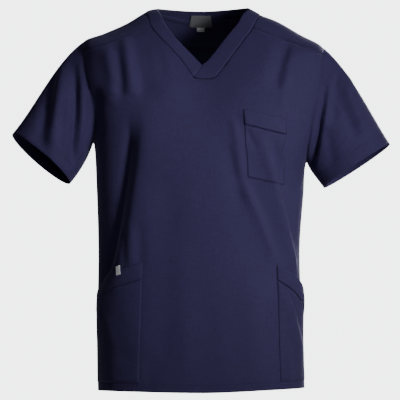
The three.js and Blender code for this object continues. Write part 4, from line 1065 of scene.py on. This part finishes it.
def body_ribbon(net, width=12, depth=1.3):
    return ribbon(body(net[:, 0], net[:, 1]), body_normal(net[:, 0], net[:, 1]), width, depth)


side_levels = np.linspace(UNDERARM + 8, HEM - BODY_HEM - 4, 60)
hem_levels = np.linspace(HEM - BODY_HEM - 6, HEM - 1.5, 10)
ribbons = [body_ribbon(yoke_back_seam()), body_ribbon(outer_fine, 10), body_ribbon(low_edge, 10)]
for sign in (-1, 1):
    ribbons.append(body_ribbon(yoke_front_seam(sign, 30)))
    ribbons.append(body_ribbon(np.stack([np.full(60, sign * 90 * DEGREE), side_levels], -1)))
    ribbons.append(body_ribbon(np.stack([np.full(10, sign * 90 * DEGREE), hem_levels], -1), 3, 0.9))
add_cloth("seam_allowance_cloth", ribbons, away_from_middle, 0.5, 0)

# %% [markdown]
# ## Thread
#
# Stitches are what makes sewing read as sewing. Each is a small rounded bar of thread, set along
# a line at its real pitch and pressed a little into the cloth. The line is found by moving a
# seam's edge sideways and dropping each stitch onto the finished shell below it, which keeps the
# thread on the folds. A painted line would have no shadow and no height.

# %% Stitch tools
PITCH, STITCH, THREAD = ((3.2, 2.3, 0.26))


def surface_of(piece):
    """The outer face of a shell for dropping stitches onto, in millimetres."""
    points = np.array([v.co for v in piece.data.vertices]) * 1000
    faces = [list(p.vertices) for p in piece.data.polygons]
    normals = vertex_normals(points, faces)
    half = piece.modifiers["wall"].thickness * 500
    return BVHTree.FromPolygons([Vector(p) for p in points + normals * half], faces)


def evenly(line, pitch):
    steps = np.concatenate([[0], np.cumsum(np.linalg.norm(np.diff(line, axis=0), axis=1))])
    at = np.arange(pitch / 2, steps[-1], pitch)
    return np.stack([np.interp(at, steps, line[:, k]) for k in range(3)], -1)


def bar(centre, along, up):
    """Points and faces of one stitch."""
    side = np.cross(up, along)
    points, faces = [], []
    for at, size in ((-0.5, 0.35), (-0.3, 0.95), (0.3, 0.95), (0.5, 0.35)):
        for k in range(6):
            turn = k * math.pi / 3
            spread_out = side * math.cos(turn) + up * math.sin(turn)
            points.append(centre + along * at * STITCH + spread_out * THREAD * size)
    for ring in range(3):
        for k in range(6):
            a, b = ring * 6 + k, ring * 6 + (k + 1) % 6
            faces.append([a, b, b + 6, a + 6])
    return points, faces + [[5, 4, 3, 2, 1, 0], [18, 19, 20, 21, 22, 23]]


def add_stitches(name, runs):
    """Runs of stitches: each is (line in mm, sideways offset, surface, direction to look from)."""
    points, faces = [], []
    for line, offset, surface, outward in runs:
        spots = evenly(np.asarray(line), PITCH)
        if len(spots) < 2:
            continue
        along = unit(np.gradient(spots, axis=0))
        for spot, direction in zip(spots, along):
            near, normal, _, _ = surface.find_nearest(Vector(spot))
            normal = np.array(normal)
            if np.dot(normal, outward(spot)) < 0:
                normal = -normal
            side = unit(np.cross(normal, direction))
            near, normal, _, _ = surface.find_nearest(Vector(spot + side * offset))
            normal = np.array(normal)
            if np.dot(normal, outward(spot)) < 0:
                normal = -normal
            direction = unit(direction - normal * np.dot(direction, normal))
            new, rings = bar(np.array(near) + normal * THREAD * 0.35, direction, normal)
            faces += [[k + len(points) for k in ring] for ring in rings]
            points += new
    print(f"{name}: {len(points) // 24} stitches")
    return add_mesh(name, points, faces)


surfaces = {name: surface_of(piece) for name, piece in made.items()}


def line_of(net):
    return body(net[..., 0], net[..., 1])


# %% Stitches of the body
hem_level = HEM - BODY_HEM + 1.5
around = np.linspace(-90, 90, 200) * DEGREE
front_hem = line_of(np.stack([around, np.full(200, hem_level)], -1))
back_hem = line_of(np.stack([around - math.pi, np.full(200, hem_level)], -1))
arm_front = {
    sign: armhole_places(sign, "front", np.linspace(yoke_angle(sign, "front"), math.pi, 40))
    for sign in (-1, 1)
}
arm_back = {
    sign: armhole_places(sign, "back", np.linspace(yoke_angle(sign, "back"), math.pi, 40))
    for sign in (-1, 1)
}
arm_yoke = {
    sign: np.concatenate([yoke_end(sign), armhole_places(sign, "back", [yoke_angle(sign, "back")])])
    for sign in (-1, 1)
}
front_runs = [(front_hem, 0, surfaces["front_cloth"], away_from_middle)]
back_runs = [(back_hem, 0, surfaces["back_cloth"], away_from_middle)]
for sign in (-1, 1):
    front_runs.append(
        (line_of(arm_front[sign]), -sign * 2.2, surfaces["front_cloth"], away_from_middle)
    )
    back_runs.append(
        (line_of(arm_back[sign]), sign * 2.2, surfaces["back_cloth"], away_from_middle)
    )
add_stitches("front_thread", front_runs)
add_stitches("back_thread", back_runs)
yoke_runs = []
for sign in (-1, 1):
    seam = line_of(yoke_front_seam(sign, 40))
    yoke_runs += [
        (seam, sign * 1.8, surfaces["yoke_cloth"], away_from_middle),
        (seam, sign * 7.0, surfaces["yoke_cloth"], away_from_middle)
    ]
    yoke_runs.append(
        (line_of(arm_yoke[sign]), -sign * 2.2, surfaces["yoke_cloth"], away_from_middle)
    )
seam = line_of(yoke_back_seam())
yoke_runs += [
    (seam, -1.8, surfaces["yoke_cloth"], away_from_middle),
    (seam, -7.0, surfaces["yoke_cloth"], away_from_middle)
]
add_stitches("yoke_thread", yoke_runs)

# %% Stitches of the neckband, sleeves and pockets
band_runs = [(line_of(outer_fine), 1.9, surfaces["neckband_cloth"], away_from_middle)]
lap = line_of(np.stack([mix(tip, low_edge[0], t) for t in np.linspace(0.08, 0.97, 20)]))
band_runs.append((lap, 2.0, surfaces["neckband_cloth"], away_from_middle))
band_runs.append((line_of(low_edge), 1.9, surfaces["neckband_cloth"], away_from_middle))
add_stitches("neckband_thread", band_runs)
for row in SLEEVES:
    name = row[0]
    tube, uv, seam, normal, away, points, normals = sleeves[name]
    hem_ring = np.concatenate([points[SLEEVE_ROWS], points[SLEEVE_ROWS][:1]])
    middle = points.mean((0, 1))
    add_stitches(
        name + "_thread",
        [(hem_ring, 0, surfaces[name + "_cloth"], lambda spot, middle=middle: spot - middle)]
    )
for name, (columns, (opening, seam_row, foot), amount, band_name) in POCKETS.items():
    bag, strip = surfaces[name + "_cloth"], surfaces[band_name + "_cloth"]
    left, right = columns
    runs = [(line_of(front_places[opening : seam_row + 1, left]), -1.6, strip, away_from_middle)]
    runs.append(
        (line_of(front_places[opening : seam_row + 1, right]), 1.6, strip, away_from_middle)
    )
    runs.append((line_of(front_places[seam_row, left : right + 1]), 1.6, strip, away_from_middle))
    for at, sign in ((left, -1), (right, 1)):
        if at in (0, right_end):
            continue
        side_line = line_of(front_places[seam_row : foot + 1, at])
        runs.append((side_line, sign * 1.6, bag, away_from_middle))
        runs.append(
            (side_line, sign * (7.5 if name != "chest_pocket" else 1.6), bag, away_from_middle)
        )
    if name == "chest_pocket":
        runs.append((line_of(front_places[foot, left : right + 1]), 1.6, bag, away_from_middle))
        runs.append(
            (line_of(front_places[opening : seam_row + 1, right]), 6.0, strip, away_from_middle)
        )
    add_stitches(name + "_thread", runs)
label = surfaces["neck_label_cloth"]
label_points, _ = neck_patch(0, LABEL["width"], LABEL["drop"], LABEL["height"], 24, 16, 1.8)
frame_line = [label_points[0], label_points[:, 0], label_points[:, -1]]
add_stitches(
    "neck_label_thread",
    [(line, offset, label, towards_neck) for line, offset in zip(frame_line, (1.2, -1.2, 1.2))]
)

# %% [markdown]
# ## Shader tools
#
# Node trees get long when every sum needs its own box. The small class below lets shader maths be
# written as Python: `1 - mask` or `weave * 0.3` adds the Math nodes by itself. Numbers that are
# the same all over the cloth never become nodes; they are worked out in Python.

# %% A socket that can be added and multiplied
class Wire:
    def __init__(self, tree, socket):
        self.tree, self.socket = tree, socket

    def node(self, kind, settings=None, **inputs):
        """Adds a node: its settings first, then values or wires for its sockets."""
        made_node = self.tree.nodes.new(kind)
        for key, value in (settings or {}).items():
            if key == "stops":
                ramp = made_node.color_ramp
                while len(ramp.elements) < len(value):
                    ramp.elements.new(0.5)
                for element, (position, color) in zip(ramp.elements, value):
                    element.position, element.color = position, color
            else:
                setattr(made_node, key, value)
        for key, value in inputs.items():
            name = key.replace("_", " ")
            socket = made_node.inputs[int(name[1:])] if name[:1] == "n" and name[1:].isdigit() else made_node.inputs[name]
            if isinstance(value, Wire):
                self.tree.links.new(value.socket, socket)
            else:
                socket.default_value = value
        return made_node

    def math(self, operation, other=None, first=None):
        inputs = {"n0": self if first is None else first}
        if other is not None:
            inputs["n1"] = other
        return Wire(
            self.tree, self.node("ShaderNodeMath", {"operation": operation}, **inputs).outputs[0]
        )

    def __add__(self, other):
        return self.math("ADD", other)

    def __mul__(self, other):
        return self.math("MULTIPLY", other)

    def __sub__(self, other):
        return self.math("SUBTRACT", other)

    def __rsub__(self, other):
        return self.math("SUBTRACT", self, first=other)

    __radd__ = __add__
    __rmul__ = __mul__


# %% [markdown]
# ## Cloth
#
# Scrub cloth is a plain weave of matt yarns, with a fine slub and a faint nap that lights up at
# the edge of a fold. The weave is worked out from the cloth's own coordinates, so it follows the
# grain of each piece. An image would need a file and would blur when seen close. Fine crumples
# come from soft noise at two scales, the way washed cloth looks between its folds.

# %% One material per cloth
def linear(hex_color):
    values = [int(hex_color[k : k + 2], 16) / 255 for k in (1, 3, 5)]
    return [v / 12.92 if v < 0.04045 else ((v + 0.055) / 1.055) ** 2.4 for v in values]


def cloth_material(
    name, color, yarns=2.0, roughness=0.82, sheen=0.25, crumple=1.0, tint=(1, 1, 1, 1)
):
    """yarns is the number of yarns to a millimetre."""
    material = bpy.data.materials.new(name)
    material.use_nodes = True
    tree = material.node_tree
    tree.nodes.clear()
    base = Wire(tree, None)
    uv = Wire(tree, base.node("ShaderNodeUVMap", {"uv_map": "weave"}).outputs[0])
    place = Wire(tree, base.node("ShaderNodeTexCoord").outputs["Object"])
    split = base.node("ShaderNodeSeparateXYZ", Vector=uv)
    across, down = Wire(tree, split.outputs[0]), Wire(tree, split.outputs[1])
    step = math.pi * 1000 * yarns
    warp = (across * step).math("SINE")
    weft = (down * step).math("SINE")
    weave = (warp * weft) * 0.5 + 0.5
    stretched = base.node(
        "ShaderNodeMapping", {"vector_type": "POINT"}, Vector=uv, Scale=(380.0, 45.0, 1.0)
    )
    crossed = base.node(
        "ShaderNodeMapping", {"vector_type": "POINT"}, Vector=uv, Scale=(45.0, 380.0, 1.0)
    )
    slub = base.node(
        "ShaderNodeTexNoise", {"noise_dimensions": "2D"}, Vector=Wire(tree, stretched.outputs[0]),
        Scale=1.0, Detail=3.0, Roughness=0.6
    )
    slub = Wire(tree, slub.outputs["Fac"])
    cross = base.node(
        "ShaderNodeTexNoise", {"noise_dimensions": "2D"}, Vector=Wire(tree, crossed.outputs[0]),
        Scale=1.0, Detail=3.0, Roughness=0.6
    )
    slub = (slub + Wire(tree, cross.outputs["Fac"])) * 0.5
    soft = Wire(
        tree,
        base.node(
            "ShaderNodeTexNoise", {}, Vector=place, Scale=26.0, Detail=2.0, Roughness=0.5
        ).outputs["Fac"]
    )
    small = Wire(
        tree,
        base.node(
            "ShaderNodeTexNoise", {}, Vector=place, Scale=110.0, Detail=3.0, Roughness=0.55
        ).outputs["Fac"]
    )
    wash = Wire(
        tree,
        base.node(
            "ShaderNodeTexNoise", {}, Vector=place, Scale=9.0, Detail=4.0, Roughness=0.6
        ).outputs["Fac"]
    )
    shade = (weave - 0.5) * 0.22 + (slub - 0.5) * 1.5 + (wash - 0.5) * 0.30 + 0.5
    dark = [c * 0.72 for c in color] + [1]
    light = [min(c * 1.30, 1) for c in color] + [1]
    mixed = base.node("ShaderNodeMix", {"data_type": "RGBA"}, n0=shade, n6=dark, n7=light)
    height = (soft - 0.5) * (0.00085 * crumple) + (small - 0.5) * (0.00022 * crumple) + weave * 0.00005 + (slub - 0.5) * 0.00005
    bump = base.node("ShaderNodeBump", {}, Strength=1.0, Distance=1.0, Height=height)
    rough = (slub - 0.5) * 0.12 + (soft - 0.5) * 0.06 + roughness
    shader = base.node(
        "ShaderNodeBsdfPrincipled", {}, Base_Color=Wire(tree, mixed.outputs[2]), Roughness=rough,
        Normal=Wire(
            tree, bump.outputs[0]
        ), Sheen_Weight=sheen, Sheen_Roughness=0.45, Sheen_Tint=tint,
        IOR=1.45, Specular_IOR_Level=0.3,
    )
    base.node("ShaderNodeOutputMaterial", {}, Surface=Wire(tree, shader.outputs[0]))
    return material


def thread_material(name, color):
    material = bpy.data.materials.new(name)
    material.use_nodes = True
    tree = material.node_tree
    tree.nodes.clear()
    base = Wire(tree, None)
    place = Wire(tree, base.node("ShaderNodeTexCoord").outputs["Object"])
    fuzz = Wire(
        tree,
        base.node("ShaderNodeTexNoise", {}, Vector=place, Scale=1500.0, Detail=2.0).outputs["Fac"]
    )
    mixed = base.node(
        "ShaderNodeMix", {"data_type": "RGBA"}, n0=fuzz, n6=[c * 0.75 for c in color] + [1],
        n7=[c * 1.25 for c in color] + [1]
    )
    bump = base.node("ShaderNodeBump", {}, Strength=1.0, Distance=1.0, Height=fuzz * 0.00006)
    shader = base.node(
        "ShaderNodeBsdfPrincipled", {}, Base_Color=Wire(
            tree, mixed.outputs[2]
        ), Roughness=(fuzz - 0.5) * 0.2 + 0.6,
        Normal=Wire(
            tree, bump.outputs[0]
        ), Sheen_Weight=0.03, Sheen_Roughness=0.4, Specular_IOR_Level=0.1,
    )
    base.node("ShaderNodeOutputMaterial", {}, Surface=Wire(tree, shader.outputs[0]))
    return material


NAVY = linear("#302951")
navy_cloth = cloth_material("navy_poplin", NAVY, sheen=0.14, tint=(0.6, 0.58, 0.95, 1))
label_cloth = cloth_material(
    "grey_label_weave", linear("#6a6b70"), yarns=3.0, roughness=0.6, sheen=0.1, crumple=0.2
)
tab_cloth = cloth_material(
    "white_tab_weave", linear("#e4e4e6"), yarns=3.0, roughness=0.55, sheen=0.05, crumple=0.15
)
tag_cloth = cloth_material(
    "pale_tag_weave", linear("#d4d6da"), yarns=3.0, roughness=0.4, sheen=0.1, crumple=0.1
)
# Stitch thread colour: partly the thread's own navy, partly painted shade of the seam grooves, which darkens it
# to about a fifth of the cloth's colour.
navy_thread_painted_seam_shade = thread_material("navy_thread_painted_seam_shade", [c * 0.22 for c in NAVY])
grey_thread = thread_material("grey_thread", linear("#48494e"))
print("materials:", len(bpy.data.materials))

# %% [markdown]
# ## Joining the shells to the solid model
#
# Each shell rides on the one body of the model and stands for the solid that it covers. The table lists the size
# each piece of cloth was cut to. Neck, armholes and pocket slopes are cut out of those rectangles, so each row
# also holds the share of its rectangle that the cut piece keeps.

# %% Bodies, materials and cut sizes
CUTS = {
    "front": ((0.62, 0.76), 0.78), "back": ((0.62, 0.71), 0.86), "yoke": ((0.50, 0.19), 0.66),
    "neckband": ((0.66, 0.031), 0.95), "sleeve_left": ((0.44, 0.27), 0.74), "sleeve_right": ((0.44, 0.27), 0.71),
    "chest_pocket": ((0.088, 0.108), 0.95), "chest_pocket_band": ((0.088, 0.032), 1.0),
    "lower_pocket_left": ((0.150, 0.235), 0.82), "lower_pocket_band_left": ((0.155, 0.038), 0.88),
    "lower_pocket_right": ((0.105, 0.235), 0.80), "lower_pocket_band_right": ((0.120, 0.038), 0.85),
    "neck_label": ((0.040, 0.030), 1.0), "size_tab": ((0.013, 0.012), 1.0), "pocket_tag": ((0.011, 0.018), 1.0),
}
LOOKS = {
    "neck_label": (label_cloth, "neck_label_cloth"), "size_tab": (tab_cloth, "white_tab_cloth"),
    "pocket_tag": (tag_cloth, "pale_tag_cloth"),
}
for node, (flat, share) in CUTS.items():
    piece = made[node + "_cloth"]
    material, slot = LOOKS.get(node, (navy_cloth, "navy_cloth"))
    piece.data.materials.append(material)
    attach(piece, "root")
    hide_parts(node)
allowance = made["seam_allowance_cloth"]
allowance.data.materials.append(navy_cloth)
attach(allowance, "root")
for name, piece in made.items():
    if name.endswith("_thread"):
        piece.data.materials.append(grey_thread if "label" in name else navy_thread_painted_seam_shade)
        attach(piece, "root")
        "neck_label_cloth" if "label" in name else "navy_cloth"
for node, (flat, share) in CUTS.items():
    piece = made[node + "_cloth"]
    threads = [made[node + "_thread"]] if node + "_thread" in made else []
    threads += [allowance] if node == "front" else []
print("declared sheets:", len(CUTS))

# %% [markdown]
# ## Studio
#
# The photograph is lit from the front and the right, on a pale ground. A narrow key lamp on the
# right models the folds and lets the left side fall into shade. Two weak lamps in front and above
# keep the dark side readable, one at the side draws the thin bright edges, and one behind lights
# the back, which dark cloth would otherwise lose. The floor is plain and pale: it is partly its
# own light where the camera looks at it, so that it stays as pale as the ground of the
# photograph. A long lens from far away keeps the upright lines of the top upright.

# %% Floor, light and camera
WALL, FILL = 4.65, 0.015
FLOOR_RADIUS, FLOOR_HEIGHT, FLOOR_CORNERS, FLOOR_GLOW = 3, -1.25, 64, 0.75
CAMERA_DISTANCE, FRAME_WIDTH, SENSOR = 24, 0.8, 36
floor_mesh = bpy.data.meshes.new("studio_floor")
corners = np.linspace(0, 2 * math.pi, FLOOR_CORNERS, endpoint=False)
ring_points = [
    (FLOOR_RADIUS * math.cos(a), FLOOR_RADIUS * math.sin(a), FLOOR_HEIGHT) for a in corners
]
floor_mesh.from_pydata(ring_points, [], [list(range(FLOOR_CORNERS))])
floor = bpy.data.objects.new("studio_floor", floor_mesh)
bpy.context.collection.objects.link(floor)
floor_material = bpy.data.materials.new("studio_floor")
floor_material.use_nodes = True
ground = Wire(floor_material.node_tree, None)
matt = floor_material.node_tree.nodes["Principled BSDF"]
matt.inputs["Base Color"].default_value = (0.84, 0.84, 0.84, 1)
matt.inputs["Roughness"].default_value = 0.9
glow = ground.node("ShaderNodeEmission", {}, Strength=WALL)
looked_at = Wire(
    floor_material.node_tree, ground.node("ShaderNodeLightPath").outputs["Is Camera Ray"]
)
pale = ground.node(
    "ShaderNodeMixShader", {}, n0=looked_at * FLOOR_GLOW,
    n1=Wire(floor_material.node_tree, matt.outputs[0]),
    n2=Wire(floor_material.node_tree, glow.outputs[0])
)
floor_material.node_tree.links.new(
    pale.outputs[0], floor_material.node_tree.nodes["Material Output"].inputs["Surface"]
)
floor_mesh.materials.append(floor_material)

world = bpy.data.worlds.new("studio")
bpy.context.scene.world = world
world.use_nodes = True
sky = Wire(world.node_tree, None)
seen = Wire(world.node_tree, sky.node("ShaderNodeLightPath").outputs["Is Camera Ray"])
background = world.node_tree.nodes["Background"]
background.inputs["Color"].default_value = (0.96, 0.97, 1.0, 1)
world.node_tree.links.new((seen * (WALL - FILL) + FILL).socket, background.inputs["Strength"])


def add_lamp(name, place, target, size, power, spread):
    lamp = bpy.data.lights.new(name, "AREA")
    lamp.size, lamp.energy, lamp.spread = size, power, spread * DEGREE
    holder = bpy.data.objects.new(name, lamp)
    holder.location = place
    holder.rotation_euler = (Vector(target) - Vector(place)).to_track_quat("-Z", "Y").to_euler()
    holder.visible_camera = False
    bpy.context.collection.objects.link(holder)
    return holder


add_lamp("key_lamp", (1.45, -2.00, 0.15), (-0.12, 0, -0.36), 0.6, 3.05, 40)
add_lamp("front_lamp", (-0.12, -3.4, 0.25), (0, 0, -0.3), 0.7, 3.8, 180)
add_lamp("top_lamp", (-0.25, -0.8, 1.7), (0, 0, -0.1), 0.9, 4.5, 180)
add_lamp("rim_lamp", (2.4, 0.1, 0.1), (0, 0, -0.3), 0.8, 7, 180)
add_lamp("back_lamp", (1.3, 3.1, 0.6), (0, 0, -0.35), 0.8, 85, 180)
camera_data = bpy.data.cameras.new("camera")
camera_data.sensor_width, camera_data.lens = SENSOR, SENSOR * CAMERA_DISTANCE / FRAME_WIDTH
camera_data.clip_end = 100
camera = bpy.data.objects.new("camera", camera_data)
camera.location = (-0.002, -CAMERA_DISTANCE, -0.382)
camera.rotation_euler = (90 * DEGREE, 0, 0)
bpy.context.collection.objects.link(camera)
bpy.context.scene.camera = camera
